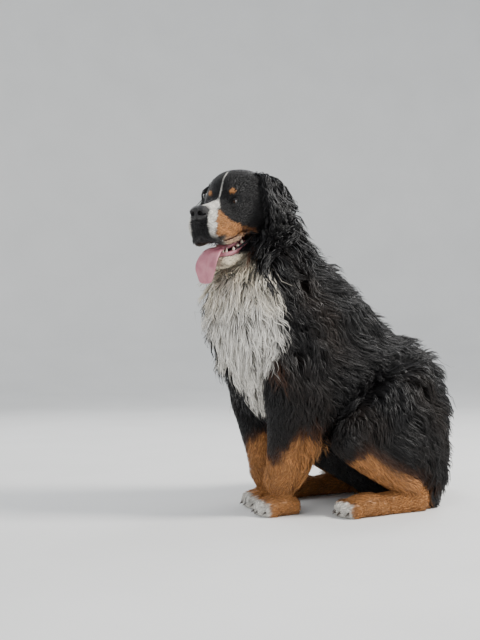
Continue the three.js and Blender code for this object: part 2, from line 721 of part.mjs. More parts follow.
const limbs = Object.fromEntries(
  Object.entries(SIDES).map(([name, side]) => [name, { ...forelegForms(side), ...hindLegForms(side) }]),
);
const intoHead = headFrame.clone().invert();
const inHead = (point) => skull.holds(point.clone().applyMatrix4(intoHead));
const inLimbs = (point) =>
  Object.values(limbs).some(({ leg, thigh }) => leg.holds(point) || thigh.holds(point));
const tailLocks = locksOver(tail, {
  from: 1.2,
  to: 5.6,
  pitch: 84,
  half: 32,
  length: 140,
  thick: 9,
  arc: [0, 180],
  fall: () => 0,
  avoid: (point) => trunk.holds(point),
});
const bodyCutters = [headCutter, coated(tail, tailLocks, GAP)];
for (const [name, side] of Object.entries(SIDES)) {
  const { leg, paw, thigh, shank, instep } = limbs[name];
  const outer = side > 0 ? 0 : 180; // the angle that faces out of the body
  const legLocks = locksOver(leg, {
    from: 0.6,
    to: 5.3,
    pitch: 96,
    half: 34,
    length: 150,
    thick: 10,
    arc: [outer - 40 - (side < 0 ? 120 : 0), outer + 40 + (side > 0 ? 120 : 0)],
    fall: () => 0,
    avoid: (point, angle, place) => trunk.holds(point) || (place > 2.4 && Math.sin(angle) < 0.5),
  });
  const thighLocks = locksOver(thigh, {
    from: 6,
    to: 0.6,
    pitch: 110,
    half: 46,
    length: 185,
    thick: 13,
    arc: [outer - 75, outer + 75],
    lie: -1,
    fall: () => side * -0.45,
    avoid: (point) => trunk.holds(point),
  });
  const foreCutters = [pawSolid(paw, GAP), coated(leg, legLocks, GAP)];
  solids[`forepaw_${name}`] = pawSolid(paw);
  for (const [part, solid] of Object.entries(parted(leg, legLocks, FORELEG_PARTS))) {
    solids[`${part}_${name}`] = cut(solid, foreCutters.slice(0, 1));
  }
  const foot = (grow) => pawSolid(limbs[name].hindPaw, grow).add(instep.solid(grow));
  const hindCutters = [foot(GAP), shank.solid(GAP), coated(thigh, thighLocks, GAP)];
  const thighCutters = [...foreCutters, ...hindCutters.slice(0, 2), bodyCutters[1]];
  solids[`hind_foot_${name}`] = foot(0);
  solids[`shank_${name}`] = cut(shank.solid(), [...foreCutters, hindCutters[0]]);
  solids[`thigh_${name}`] = cut(coated(thigh, thighLocks), thighCutters);
  bodyCutters.push(...foreCutters, ...hindCutters);
}
Object.assign(solids, parted(tail, tailLocks, TAIL_PARTS));

const trunkLocks = locksOver(trunk, {
  from: -0.3,
  to: 12.2,
  pitch: 122,
  half: 57,
  length: 200,
  thick: 15,
  arc: [-90, 270],
  fall: (angle, place) => (place > 5 ? -0.25 * Math.cos(angle) * Math.max(Math.sin(angle), 0) : 0),
  avoid: (point, angle, place) =>
    inHead(point) || inLimbs(point) || (place > 6.2 && Math.sin(angle) < -0.1),
});
for (const [name, solid] of Object.entries(parted(trunk, trunkLocks, TRUNK_PARTS))) {
  solids[name] = cut(solid, bodyCutters);
}

// The scene graph: each solid as a mesh about the middle of its own box
const finish = (colour, roughness) =>
  new THREE.MeshStandardMaterial({ color: COLOURS[colour], roughness, metalness: 0 });

function materialFor(name) {
  if (name.startsWith("eye")) return finish("eye", 0.08);
  if (name === "nose") return finish("leather", 0.35);
  if (name === "tongue") return finish("flesh", 0.4);
  if (name === "chest") return finish("white", 0.9);
  if (/^(forepaw|lower_foreleg|shank|hind_foot)/.test(name)) return finish("rust", 0.9);
  return finish("black", 0.85);
}

function meshOf(name, solid) {
  const { numProp, vertProperties, triVerts } = solid.getMesh();
  const geometry = new THREE.BufferGeometry();
  geometry.setAttribute("position", new THREE.BufferAttribute(vertProperties, numProp));
  geometry.setIndex(new THREE.BufferAttribute(triVerts, 1));
  geometry.computeBoundingBox();
  const middle = geometry.boundingBox.getCenter(vec(0, 0, 0));
  geometry.translate(...middle.clone().negate().toArray());
  geometry.computeVertexNormals();
  const mesh = new THREE.Mesh(geometry, materialFor(name));
  mesh.name = name;
  mesh.position.copy(middle);
  return mesh;
}

const headGroup = new THREE.Group();
headFrame.decompose(headGroup.position, headGroup.quaternion, headGroup.scale);
for (const [name, solid] of Object.entries(headSolids)) {
  headGroup.add(meshOf(name, largest(solid)));
}

const dog = new THREE.Group();
dog.add(headGroup);
for (const [name, solid] of Object.entries(solids)) {
  dog.add(meshOf(name, largest(cut(solid, [floor]))));
}
const box = new THREE.Box3().setFromObject(dog, true);
const middle = box.getCenter(vec(0, 0, 0));
dog.position.set(-middle.x, -middle.y, -box.min.z);
dog.updateMatrixWorld(true);

export default dog;
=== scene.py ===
import math

import bpy
import numpy as np
from mathutils import Matrix, Vector
from mathutils.kdtree import KDTree


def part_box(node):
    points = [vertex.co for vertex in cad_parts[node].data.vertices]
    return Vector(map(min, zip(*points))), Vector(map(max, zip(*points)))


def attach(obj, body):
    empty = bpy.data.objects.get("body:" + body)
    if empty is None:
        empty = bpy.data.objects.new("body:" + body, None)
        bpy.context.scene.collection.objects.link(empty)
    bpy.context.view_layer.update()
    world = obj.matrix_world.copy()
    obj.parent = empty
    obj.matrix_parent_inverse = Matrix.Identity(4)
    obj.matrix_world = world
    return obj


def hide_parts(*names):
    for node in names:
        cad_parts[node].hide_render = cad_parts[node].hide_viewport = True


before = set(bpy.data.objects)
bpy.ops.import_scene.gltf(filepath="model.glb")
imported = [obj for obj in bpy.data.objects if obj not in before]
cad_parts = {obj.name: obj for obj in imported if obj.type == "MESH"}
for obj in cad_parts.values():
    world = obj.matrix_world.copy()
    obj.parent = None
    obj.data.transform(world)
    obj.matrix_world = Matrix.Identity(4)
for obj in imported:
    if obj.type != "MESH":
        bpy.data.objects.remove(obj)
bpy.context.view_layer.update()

# Bernese mountain dog sitting upright, life size. Lengths are in millimetres in the dog's own
# frame: the dog faces -Y, its left side is +X, and the origin is on the floor between the
# forepaws. Head coordinates are x to the left, y = -ahead and z up, from the middle of the skull.

HEAD_CENTRE = np.array([10.0, -106.0, 815.0])
HEAD_TURN = 29  # degrees to the dog's left
HEAD_DIP = 8  # degrees nose down
FORE_STANCE = 60
FORE_STEP = 12
HIND_STANCE = 166
EYE = np.array([36.0, -65.0, -13.0])  # head coordinates of the left eyeball
EYE_RADIUS = 13.0
EYE_TURN = 30  # degrees that each eye looks outwards
INSET = 3.5  # the skin lies this deep in the solids where the fur is short
FLOOR_CLEAR = 0.6  # the lowest skin and hair stay this far above the floor
HEAD_BASE = 600  # height below which nothing belongs to the head

HEAD_VOXEL = 2.3
PAW_VOXEL = 3.2
BODY_VOXEL = 8.0
SHARE = 1.0  # of the tufts, fewer while trying things out

random = np.random.default_rng(11)


# Frames and small helpers

def turn(axis, degrees):
    return np.array(Matrix.Rotation(math.radians(degrees), 3, axis))


HEAD_AXES = turn("Z", HEAD_TURN) @ turn("X", HEAD_DIP)


def to_body(points):
    return np.asarray(points, float) @ HEAD_AXES.T + HEAD_CENTRE


def to_head(points):
    return (np.asarray(points, float) - HEAD_CENTRE) @ HEAD_AXES


def mirrored(point, side):
    """A point of the left side, or its mirror image for the right side."""
    return np.array(point) * [side, 1, 1]


def world_shift():
    low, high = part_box("eye_left")
    middle = (np.array(low) + np.array(high)) / 2
    return middle - to_body(EYE) / 1000


SHIFT = world_shift()


def to_world(points):
    return np.asarray(points, float) / 1000 + SHIFT


def unit(vectors):
    lengths = np.linalg.norm(vectors, axis=-1, keepdims=True)
    return vectors / np.maximum(lengths, 1e-9)


def around(count):
    """Angles of equal steps round a circle."""
    return np.arange(count) / count * 2 * math.pi


def pairs(first, second):
    """Each value of the first with each value of the second, as two flat lists."""
    return (grid.ravel() for grid in np.meshgrid(first, second, indexing="ij"))


def search_tree(points):
    tree = KDTree(len(points))
    for i, point in enumerate(points):
        tree.insert(point, i)
    tree.balance()
    return tree


def nearest(tree, points):
    """The number of the tree's point that is nearest to each of these points."""
    return np.array([tree.find(point)[1] for point in points])


def smooth(low, high, values):
    """0 below low, 1 above high, with a smooth rise between them. Falls if low is the higher."""
    t = np.clip((np.asarray(values, float) - low) / (high - low), 0, 1)
    return t * t * (3 - 2 * t)


def bump(points, centre, radii):
    """1 at the centre, falling smoothly to nothing about two radii away."""
    return np.exp(-(((points - np.array(centre)) / np.array(radii)) ** 2).sum(-1))


def line_at(values, half_width):
    """1 where the values are nothing, falling smoothly on both sides."""
    return np.exp(-((values / half_width) ** 2))


def waves(points, wavelength, seed):
    """Soft noise from about -1 to 1, as a sum of sines in fixed random directions."""
    draw = np.random.default_rng(seed)
    total = np.zeros(len(points))
    for octave in range(5):
        way = unit(draw.normal(size=3)) * (2 * math.pi / wavelength) * (0.7 + 0.35 * octave)
        total += np.sin(points @ way + draw.uniform(0, 6.3)) / (1 + 0.5 * octave)
    return total / 2.2


# Forms

def ring_faces(rings, sides, turned=False, start=0):
    """Quads between rings of points, which face the other way if turned."""
    faces = []
    for i in range(rings - 1):
        low, high = start + i * sides, start + (i + 1) * sides
        for j in range(sides):
            k = (j + 1) % sides
            quad = (low + j, low + k, high + k, high + j)
            faces.append((quad[0], *quad[:0:-1]) if turned else quad)
    return faces


def closed_faces(rings, sides, turned=False):
    """Faces between rings of points and two poles, which come last."""
    faces = ring_faces(rings, sides, turned)
    first = rings * sides
    end = first - sides
    for j in range(sides):
        k = (j + 1) % sides
        a, b = (j, k) if turned else (k, j)
        faces.append((first, a, b))
        faces.append((first + 1, end + b, end + a))
    return faces


def between(rows, place):
    """Catmull-Rom values between the rows of a table."""
    last = len(rows) - 1
    start = np.clip(np.floor(place), 0, last - 1).astype(int)
    share = np.clip(place - start, 0, 1)[:, None]
    a, b, c, d = (rows[np.clip(start + k, 0, last)] for k in (-1, 0, 1, 2))
    bend = 2 * a - 5 * b + 4 * c - d + share * (3 * (b - c) + d - a)
    return b + 0.5 * share * (c - a + share * bend)


class Form:
    """A body form: a loft of superellipse rings with a dome at each end, as in the part."""

    def __init__(self, rings, domes):
        self.rows = np.array([self.row(**ring) for ring in rings], float)
        self.last = len(rings) - 1
        self.domes = domes

    @staticmethod
    def row(coat=(0, 0, 0), back=None, front=None, half=None, x=0, centre=None, wide=None,
            high=None, taper=0, square=2.2):
        if centre is not None:
            return [*centre, *wide, *high, *coat, taper, square]
        middle = [x, (back[0] + front[0]) / 2, (back[1] + front[1]) / 2]
        up = [0, (back[0] - front[0]) / 2, (back[1] - front[1]) / 2]
        return [*middle, half, 0, 0, *up, *coat, taper, square]

    def end_normal(self, end):
        inner = 0.2 if end == 0 else self.last - 0.2
        row, inside = between(self.rows, np.array([end, inner], float))
        normal = unit(np.cross(row[3:6], row[6:9]))
        return -normal if normal @ (inside[:3] - row[:3]) > 0 else normal

    def points(self, place, angle, level=1.0, grow=0.0):
        place, angle = np.broadcast_arrays(np.asarray(place, float), np.asarray(angle, float))
        inside = np.clip(place, 0, self.last)
        row = between(self.rows, inside)
        centre, wide, high = row[:, :3], row[:, 3:6], row[:, 6:9]
        beyond = np.minimum(np.abs(place - inside), 1) * math.pi / 2
        power = 2 / row[:, 13]
        across = np.sign(np.cos(angle)) * np.abs(np.cos(angle)) ** power
        along = np.sign(np.sin(angle)) * np.abs(np.sin(angle)) ** power
        back, front, side = (grow - (1 - level) * row[:, 9:12]).T
        normals = np.array([self.end_normal(0), self.end_normal(self.last)])
        end = (place > self.last).astype(int)
        dome = np.maximum(np.array(self.domes)[end] + np.minimum(back, side), 1)
        centre = centre + normals[end] * (dome * np.sin(beyond))[:, None]
        narrow = 1 - row[:, 12] * np.maximum(along, 0)
        wide_reach = across * narrow * np.cos(beyond) * (1 + side / np.linalg.norm(wide, axis=1))
        depth = np.where(along > 0, back, front)
        high_reach = along * np.cos(beyond) * (1 + depth / np.linalg.norm(high, axis=1))
        return centre + wide * wide_reach[:, None] + high * high_reach[:, None]

    def surface(self, grow=0.0, sides=40, steps=4):
        """The loft under the coat, closed, as (points, faces)."""
        dome = np.array([0.35, 0.65, 0.88])
        inner = np.linspace(0, self.last, self.last * steps + 1)
        places = np.concatenate([-dome[::-1], inner, self.last + dome])
        rings = self.points(*pairs(places, around(sides)), 0.0, grow)
        poles = self.points([-1, self.last + 1], [0, 0], 0.0, grow)
        return np.concatenate([rings, poles]), closed_faces(len(places), sides)


def ellipsoid(centre, radii, turned=0.0, across=28, down=18):
    """A ball of three radii, turned by degrees round its upright axis."""
    h, a = pairs((np.arange(down - 1) + 1) / down * math.pi, around(across))
    ball = np.stack([np.sin(h) * np.cos(a), np.sin(h) * np.sin(a), np.cos(h)], -1)
    ball = np.concatenate([ball, [[0, 0, 1], [0, 0, -1]]]) * np.array(radii)
    points = ball @ turn("Z", turned).T + np.array(centre)
    return points, closed_faces(down - 1, across, turned=True)


# The dog's forms

BARE = [0, 0, 0]  # no coat behind, in front and at the sides
SOLE = -8  # the rings of the feet reach this far below the floor


def loft(rows, domes, side=1):
    """A form from rows of x, back, front, half width and depth of coat, for one side."""
    return Form(
        [{"x": side * x, "back": b, "front": f, "half": h, "coat": c} for x, b, f, h, c in rows],
        domes,
    )


trunk = loft(
    [
        (0, [32, 834], [-112, 715], 104, [40, 30, 36]),
        (0, [66, 784], [-150, 652], 124, [50, 44, 44]),
        (0, [97, 718], [-190, 590], 144, [46, 56, 46]),
        (0, [134, 663], [-203, 532], 163, [38, 60, 44]),
        (0, [197, 608], [-188, 450], 176, [36, 56, 42]),
        (0, [250, 562], [-152, 362], 176, [36, 50, 40]),
        (0, [300, 520], [-95, 272], 170, [36, 44, 38]),
        (0, [340, 484], [0, 200], 162, [36, 20, 38]),
        (0, [376, 460], [105, 130], 160, [38, 0, 38]),
        (0, [422, 460], [200, 72], 158, [42, 0, 38]),
        (0, [466, 430], [268, 30], 150, [44, 0, 38]),
        (0, [488, 372], [312, 6], 138, [46, 0, 38]),
        (0, [494, 284], [335, -8], 118, [46, 0, 36]),
        (0, [482, 160], [350, -14], 88, [46, 0, 30]),
    ],
    (24, 30),
)


def foreleg(side):
    step = side * -FORE_STEP
    rows = [
        (98, [80, 456], [-92, 450], 50, [24, 20, 30]),
        (110, [100, 384], [-100, 376], 66, [30, 22, 32]),
        (106, [112, 310], [-84, 302], 65, [38, 14, 24]),
        (94, [113, 244], [-66, 238], 57, [46, 0, 8]),
        (82, [103 + step / 3, 180], [-56 + step / 3, 174], 50, [48, 0, 4]),
        (72, [86 + step / 1.5, 126], [-50 + step / 1.5, 126], 45, [36, 0, 0]),
        (FORE_STANCE + 4, [54 + step, 82], [-50 + step, 88], 43, [12, 0, 0]),
        (FORE_STANCE, [38 + step, 50], [-54 + step, 56], 42, BARE),
    ]
    return loft(rows, (30, 8), side)


def thigh(side):
    rows = [
        (112, [434, 322], [440, 56], 52, [30, 10, 34]),
        (126, [398, 396], [404, -8], 76, [36, 0, 38]),
        (136, [338, 414], [344, -14], 88, [36, 0, 38]),
        (142, [268, 392], [288, 44], 90, [34, 12, 36]),
        (146, [200, 344], [228, 92], 82, [30, 20, 32]),
        (148, [140, 290], [168, 130], 68, [24, 20, 26]),
        (150, [104, 244], [124, 168], 46, [14, 14, 16]),
    ]
    return loft(rows, (18, 18), side)


def shank(side):
    rows = [
        (150, [142, 238], [94, 162], 46, BARE),
        (156, [211, 195], [159, 113], 48, BARE),
        (162, [278, 147], [232, 70], 42, BARE),
        (HIND_STANCE, [334, 104], [300, 30], 36, BARE),
    ]
    return loft(rows, (16, 24), side)


def instep(side):
    rows = [
        (HIND_STANCE, [346, 74], [346, SOLE], 30, BARE),
        (HIND_STANCE, [290, 60], [290, SOLE], 31, BARE),
        (HIND_STANCE, [200, 52], [200, SOLE], 35, BARE),
    ]
    return loft(rows, (16, 10), side)


FORE_HEEL = 34
FORE_TOE = -78
HIND_HEEL = 222
HIND_TOE = 88
PAWS = {
    "forepaw_left": {"x": FORE_STANCE, "heel": FORE_HEEL - FORE_STEP, "toe": FORE_TOE - FORE_STEP},
    "forepaw_right": {"x": -FORE_STANCE, "heel": FORE_HEEL + FORE_STEP, "toe": FORE_TOE + FORE_STEP},
    "hind_paw_left": {"x": HIND_STANCE, "heel": HIND_HEEL, "toe": HIND_TOE},
    "hind_paw_right": {"x": -HIND_STANCE, "heel": HIND_HEEL, "toe": HIND_TOE},
}
PAW_HALF = 44
PAW_HEIGHT = 58
PAW_SHAPE = [(0, 0.86, 0.88), (0.3, 1, 0.96), (0.62, 0.86, 0.98), (0.82, 0.6, 0.86)]
TOE_RADII = np.array([12.8, 25.0, 24.0])
TOE_BACK = 25  # a toe's middle behind its tip
TOE_INSET = [1.6, 3, 3]
OUTER_TOE_BACK = 12  # how much further back the two outer toes are


def foot_form(paw):
    rows = []
    for along_foot, top, wide in PAW_SHAPE:
        y = paw["heel"] - along_foot * (paw["heel"] - paw["toe"])
        rows.append((paw["x"], [y, PAW_HEIGHT * top], [y, SOLE], PAW_HALF * wide, BARE))
    return loft(rows, (12, 10))


def toe_centres(paw):
    centres = []
    for place in (-1.5, -0.5, 0.5, 1.5):
        back = OUTER_TOE_BACK if abs(place) > 1 else 0
        centres.append([paw["x"] + place * PAW_HALF * 0.49, paw["toe"] + TOE_BACK + back,
                        PAW_HEIGHT * 0.32])
    return np.array(centres)


TAIL = [
    ([8, 452, 98], 40), ([-26, 504, 68], 50), ([-92, 542, 52], 54), ([-168, 534, 50], 54),
    ([-234, 482, 48], 50), ([-270, 404, 44], 42), ([-288, 330, 36], 26),
]


def tail_form():
    rings = []
    for i, (at, radius) in enumerate(TAIL):
        before, after = TAIL[max(i - 1, 0)][0], TAIL[min(i + 1, len(TAIL) - 1)][0]
        along = np.array(after, float) - np.array(before)
        along[2] = 0
        wide = np.cross(unit(along), [0, 0, 1]) * radius
        coat = radius * 0.6
        rings.append({"centre": at, "wide": wide, "high": [0, 0, radius], "coat": [coat, 0, coat]})
    return Form(rings, (16, 34))


def across_head(rows, domes):
    """A form from rows of ahead, top, bottom, half width, taper and squareness."""
    return Form(
        [{"back": [-ahead, top], "front": [-ahead, bottom], "half": half, "taper": taper,
          "square": square} for ahead, top, bottom, half, taper, square in rows],
        domes,
    )


skull = across_head(
    [
        (-72, 14, -66, 58, 0, 2.2), (-44, 56, -96, 80, 0.05, 2.3), (-5, 70, -108, 87, 0.08, 2.4),
        (32, 69, -104, 84, 0.1, 2.4), (56, 59, -98, 76, 0.18, 2.4), (69, 46, -100, 68, 0.3, 2.5),
        (78, 28, -102, 61, 0.38, 2.6), (86, 10, -105, 56, 0.43, 2.8), (96, -1, -108, 52, 0.43, 3),
        (118, -8, -113, 47, 0.39, 3.2), (142, -11, -114, 46, 0.36, 3.2),
        (162, -14, -110, 43, 0.34, 3.1), (175, -18, -99, 38, 0.3, 2.8),
    ],
    (18, 8),
)
mouth_space = across_head(
    [
        (30, -84, -140, 24, 0, 3), (70, -74, -150, 31, 0, 3), (110, -72, -150, 32, 0, 3),
        (140, -74, -150, 30, 0, 3), (160, -80, -140, 24, 0, 3),
    ],
    (8, 5),
)
jaw = across_head(
    [
        (6, -84, -136, 56, 0, 2.3), (42, -106, -157, 47, 0, 2.4), (76, -127, -172, 38, 0, 2.4),
        (102, -136, -177, 32, 0, 2.4), (120, -142, -172, 23, 0, 2.4),
    ],
    (14, 8),
)
nose_form = across_head(
    [
        (158, -18, -44, 17, 0, 2.6), (168, -14, -50, 24, 0.08, 2.9), (178, -14, -51, 25, 0.1, 3.1),
        (185, -18, -49, 21, 0.05, 3.1),
    ],
    (4, 4),
)


def ear(side):
    rows = [
        (56, -14, 58, 32, 10), (40, -18, 80, 50, 13), (8, -22, 94, 61, 15), (-30, -19, 101, 62, 16),
        (-66, -11, 103, 53, 15), (-92, 2, 101, 31, 11),
    ]
    return Form(
        [{"centre": [side * out, -ahead, up], "wide": [0, side * broad, 0],
          "high": [side * thick, 0, 0], "coat": (12, 0, 22)}
         for up, ahead, out, broad, thick in rows],
        (8, 14),
    )


# Rows of ahead, up, out to the left, half width and half thickness
TONGUE = [
    (34, -112, 2, 20, 9), (74, -118, 2, 23, 8), (106, -125, 2, 16, 6), (134, -127, 3, 26, 6),
    (154, -142, 2, 31, 6), (163, -170, -3, 31, 5), (163, -199, -8, 21, 4),
]


def tongue_form():
    rings = []
    for i, (ahead, up, out, half, thick) in enumerate(TONGUE):
        before, after = TONGUE[max(i - 1, 0)], TONGUE[min(i + 1, len(TONGUE) - 1)]
        along = unit(np.array([0.0, before[0] - after[0], after[1] - before[1]]))
        high = np.cross([1, 0, 0], along) * thick
        rings.append({"centre": [out, -ahead, up], "wide": [half, 0, 0], "high": high,
                      "square": 2.6})
    return Form(rings, (4, 9))


UPPER_LIP = np.array([(60, -24, -93), (50, -62, -92), (43, -100, -108), (38, -140, -112),
                      (28, -167, -101), (5, -177, -88)], float)
LOWER_LIP = np.array([(50, -26, -98), (42, -56, -117), (32, -88, -132), (22, -112, -140),
                      (6, -122, -143)], float)


def ridge(line, radius, side):
    """A rounded ridge along a line, such as a lip, in head coordinates."""
    centres = between(mirrored(line, side), np.linspace(0, len(line) - 1, 16))
    rings = []
    for i, centre in enumerate(centres):
        along = unit(centres[min(i + 1, 15)] - centres[max(i - 1, 0)])
        wide = unit(np.cross(along, [0, 0, 1]))
        rings.append({"centre": centre, "wide": wide * radius,
                      "high": np.cross(wide, along) * radius})
    return Form(rings, (radius, radius))


# Mesh helpers

def linked(obj):
    bpy.context.scene.collection.objects.link(obj)
    return obj


def mesh_object(name, points, faces):
    """A mesh from points in world metres and a list of faces."""
    mesh = bpy.data.meshes.new(name)
    mesh.from_pydata([tuple(p) for p in points], [], [tuple(int(i) for i in f) for f in faces])
    mesh.validate()
    return linked(bpy.data.objects.new(name, mesh))


def own_object(name, points, faces):
    """A mesh from points in the dog's own frame."""
    return mesh_object(name, to_world(points), faces)


def head_object(name, points, faces):
    """A mesh from points in head coordinates."""
    return own_object(name, to_body(points), faces)


def joined(surfaces):
    """Several (points, faces) as one."""
    points, faces, start = [], [], 0
    for more_points, more_faces in surfaces:
        points.append(more_points)
        faces.extend(tuple(i + start for i in face) for face in more_faces)
        start += len(more_points)
    return np.concatenate(points), faces


def evaluated(obj):
    """The object's mesh with its modifiers applied, in place."""
    depsgraph = bpy.context.evaluated_depsgraph_get()
    mesh = bpy.data.meshes.new_from_object(obj.evaluated_get(depsgraph))
    obj.modifiers.clear()
    old = obj.data
    obj.data = mesh
    bpy.data.meshes.remove(old)
    return obj


def remeshed(obj, voxel):
    modifier = obj.modifiers.new("voxels", "REMESH")
    modifier.mode = "VOXEL"
    modifier.voxel_size = voxel / 1000
    return evaluated(obj)


def combined(obj, other, operation):
    """A Boolean of two closed meshes. The second object is used up."""
    modifier = obj.modifiers.new("combine", "BOOLEAN")
    modifier.operation = operation
    modifier.solver = "MANIFOLD"
    modifier.object = other
    evaluated(obj)
    bpy.data.objects.remove(other)
    return obj


def read(items, name, width, kind=float):
    """A value of all points, edges or corners, in rows of `width` numbers."""
    flat = np.zeros(len(items) * width, kind)
    items.foreach_get(name, flat)
    return flat.reshape(-1, width)


def read_normals(mesh):
    return read(mesh.vertices, "normal", 3)


def read_edges(mesh):
    return read(mesh.edges, "vertices", 2, int)


def read_triangles(mesh, name="vertices"):
    mesh.calc_loop_triangles()
    return read(mesh.loop_triangles, name, 3, int)


def own_points(mesh):
    """A mesh's points in the dog's own frame."""
    return (read(mesh.vertices, "co", 3) - SHIFT) * 1000


def write_points(mesh, points):
    """Moves a mesh's points to places in the dog's own frame."""
    mesh.vertices.foreach_set("co", to_world(points).astype(np.float32).ravel())
    mesh.update()


def neighbour_mean(values, edges):
    total = np.zeros_like(values)
    count = np.zeros(len(values))
    for a, b in ((0, 1), (1, 0)):
        for k in range(values.shape[1]):
            total[:, k] += np.bincount(edges[:, a], values[edges[:, b], k], len(values))
        count += np.bincount(edges[:, a], minlength=len(values))
    return total / np.maximum(count, 1)[:, None]


def relaxed(values, edges, rounds, strength=0.5, keep=None):
    """Values at points, evened out along edges. `keep` holds some points back."""
    share = strength if keep is None else strength * (1 - keep)[:, None]
    for _ in range(rounds):
        values = values + share * (neighbour_mean(values, edges) - values)
    return values


def shade_smoothly(mesh):
    mesh.polygons.foreach_set("use_smooth", np.ones(len(mesh.polygons), bool))


# Markings

BLACK = np.array([0.0065, 0.006, 0.0066])
WHITE = np.array([0.8, 0.77, 0.71])
# cream over the white throat hair: a painted reflection of light from the ground
REFLECTED_CREAM = np.array([0.7, 0.62, 0.47])
RUST = np.array([0.42, 0.185, 0.06])
BROWN_BLACK = np.array([0.02, 0.012, 0.008])
PALE_RUST = np.array([0.6, 0.34, 0.15])
DARK_RUST = np.array([0.11, 0.04, 0.015])
FLESH = np.array([0.5, 0.19, 0.2])
# the mouth's pink in painted shade, far inside
SHADED_FLESH = np.array([0.16, 0.045, 0.05])
LIP = np.array([0.010, 0.009, 0.010])
PALE_LIP_HAIR = np.array([0.36, 0.3, 0.24])

# Edges of the markings: places, and where the edge lies at each of them
CHEEK_TOP = ([20, 35, 76, 111, 124, 134, 150], [-84, -80, -74, -61, -48, -32, -26])  # up, by ahead
CHEEK_FOOT = ([20, 45, 80, 110], [-106, -108, -118, -128])  # up, by ahead
WHITE_BAND = ([-100, -81, -57, -27, -10], [158, 171, 167, 141, 114])  # ahead, by up
DARK_FRONT = ([-95, -60, -36], [27, 23, 25])  # half width under the nose, by up
BLAZE = ([-10, 0, 30, 62], [6, 3.0, 2.6, 2.2])  # half width, by up
MOUTH_HALF = ([22, 30, 70, 140, 160, 166], [14, 24, 31, 30, 24, 16])  # half width, by ahead
MOUTH_ROOF = ([22, 30, 70, 110, 140, 160], [-90, -84, -74, -72, -74, -80])  # up, by ahead
BIB_HEIGHT = [225, 254, 335, 448, 546, 600, 640, 690]
BIB_NEAR = (BIB_HEIGHT, [30, 36, 50, 64, 62, 58, 52, 46])  # degrees round the chest from ahead
BIB_FAR = (BIB_HEIGHT, [30, 24, 2, -12, -17, -20, -28, -40])
FORE_RUST = ([-60, -30, 0, 60, 110], [128, 160, 208, 236, 244])  # height, by distance back
HIND_RUST = ([84, 130, 160, 210, 280, 330, 370], [96, 150, 168, 128, 96, 74, 60])

# Small marks: middle and radii, the first three on the left of the face as out, ahead and up
# Painted shadow in the corner of the mouth, where black takes the place of the rust
MOUTH_CORNER_SHADOW = ([53, 46, -98], [15, 14, 14])
BROW_SPOT = ([33, 78, 12], [9, 12, 7])
JAW_CORNER = ([52, 38, -138], [10, 16, 12])
CHEST_PATCH = ([150, -70, 404], [26, 26, 46])
THROAT_PATCH = ([98, -104, 640], [20, 22, 16])


def blend(base, colour, amount):
    return base + (colour - base) * np.clip(amount, 0, 1)[:, None]


def layered(colours, layers):
    """Colours with each layer of (colour, share) laid over them in turn."""
    for colour, share in layers:
        colours = blend(colours, colour, share)
    return colours


def folded(points):
    """Points moved to the left side of the middle plane."""
    return points * np.where(points[:, :1] < 0, [[-1.0, 1.0, 1.0]], 1.0)


def muzzle_white(x, ahead, up, ragged):
    """The white band round the muzzle, open at the dark front under the nose."""
    band = smooth(-3, 3, ahead - np.interp(up, *WHITE_BAND) + ragged)
    band *= smooth(-98, -74, up + 2 * ragged)
    front = smooth(160, 168, ahead) * smooth(-30, -40, up)
    edge = np.interp(up, *DARK_FRONT) + 0.5 * ragged
    band *= 1 - front * smooth(edge + 2, edge - 2, x)
    bridge = smooth(-3, 3, ahead - 92 - 1.5 * x + ragged) * smooth(-30, -20, up)
    return np.maximum(band * smooth(-14, -24, up), bridge)


def blaze_share(points, ahead, up):
    """The thin white line from the bridge over the forehead."""
    middle = 1.2 * np.sin(up / 16.0) * smooth(0, 30, up)
    half = np.interp(up, *BLAZE)
    line = smooth(half + 1.2, half - 1.0, np.abs(points[:, 0] - middle))
    return line * smooth(38, 52, ahead) * smooth(-24, -12, up)


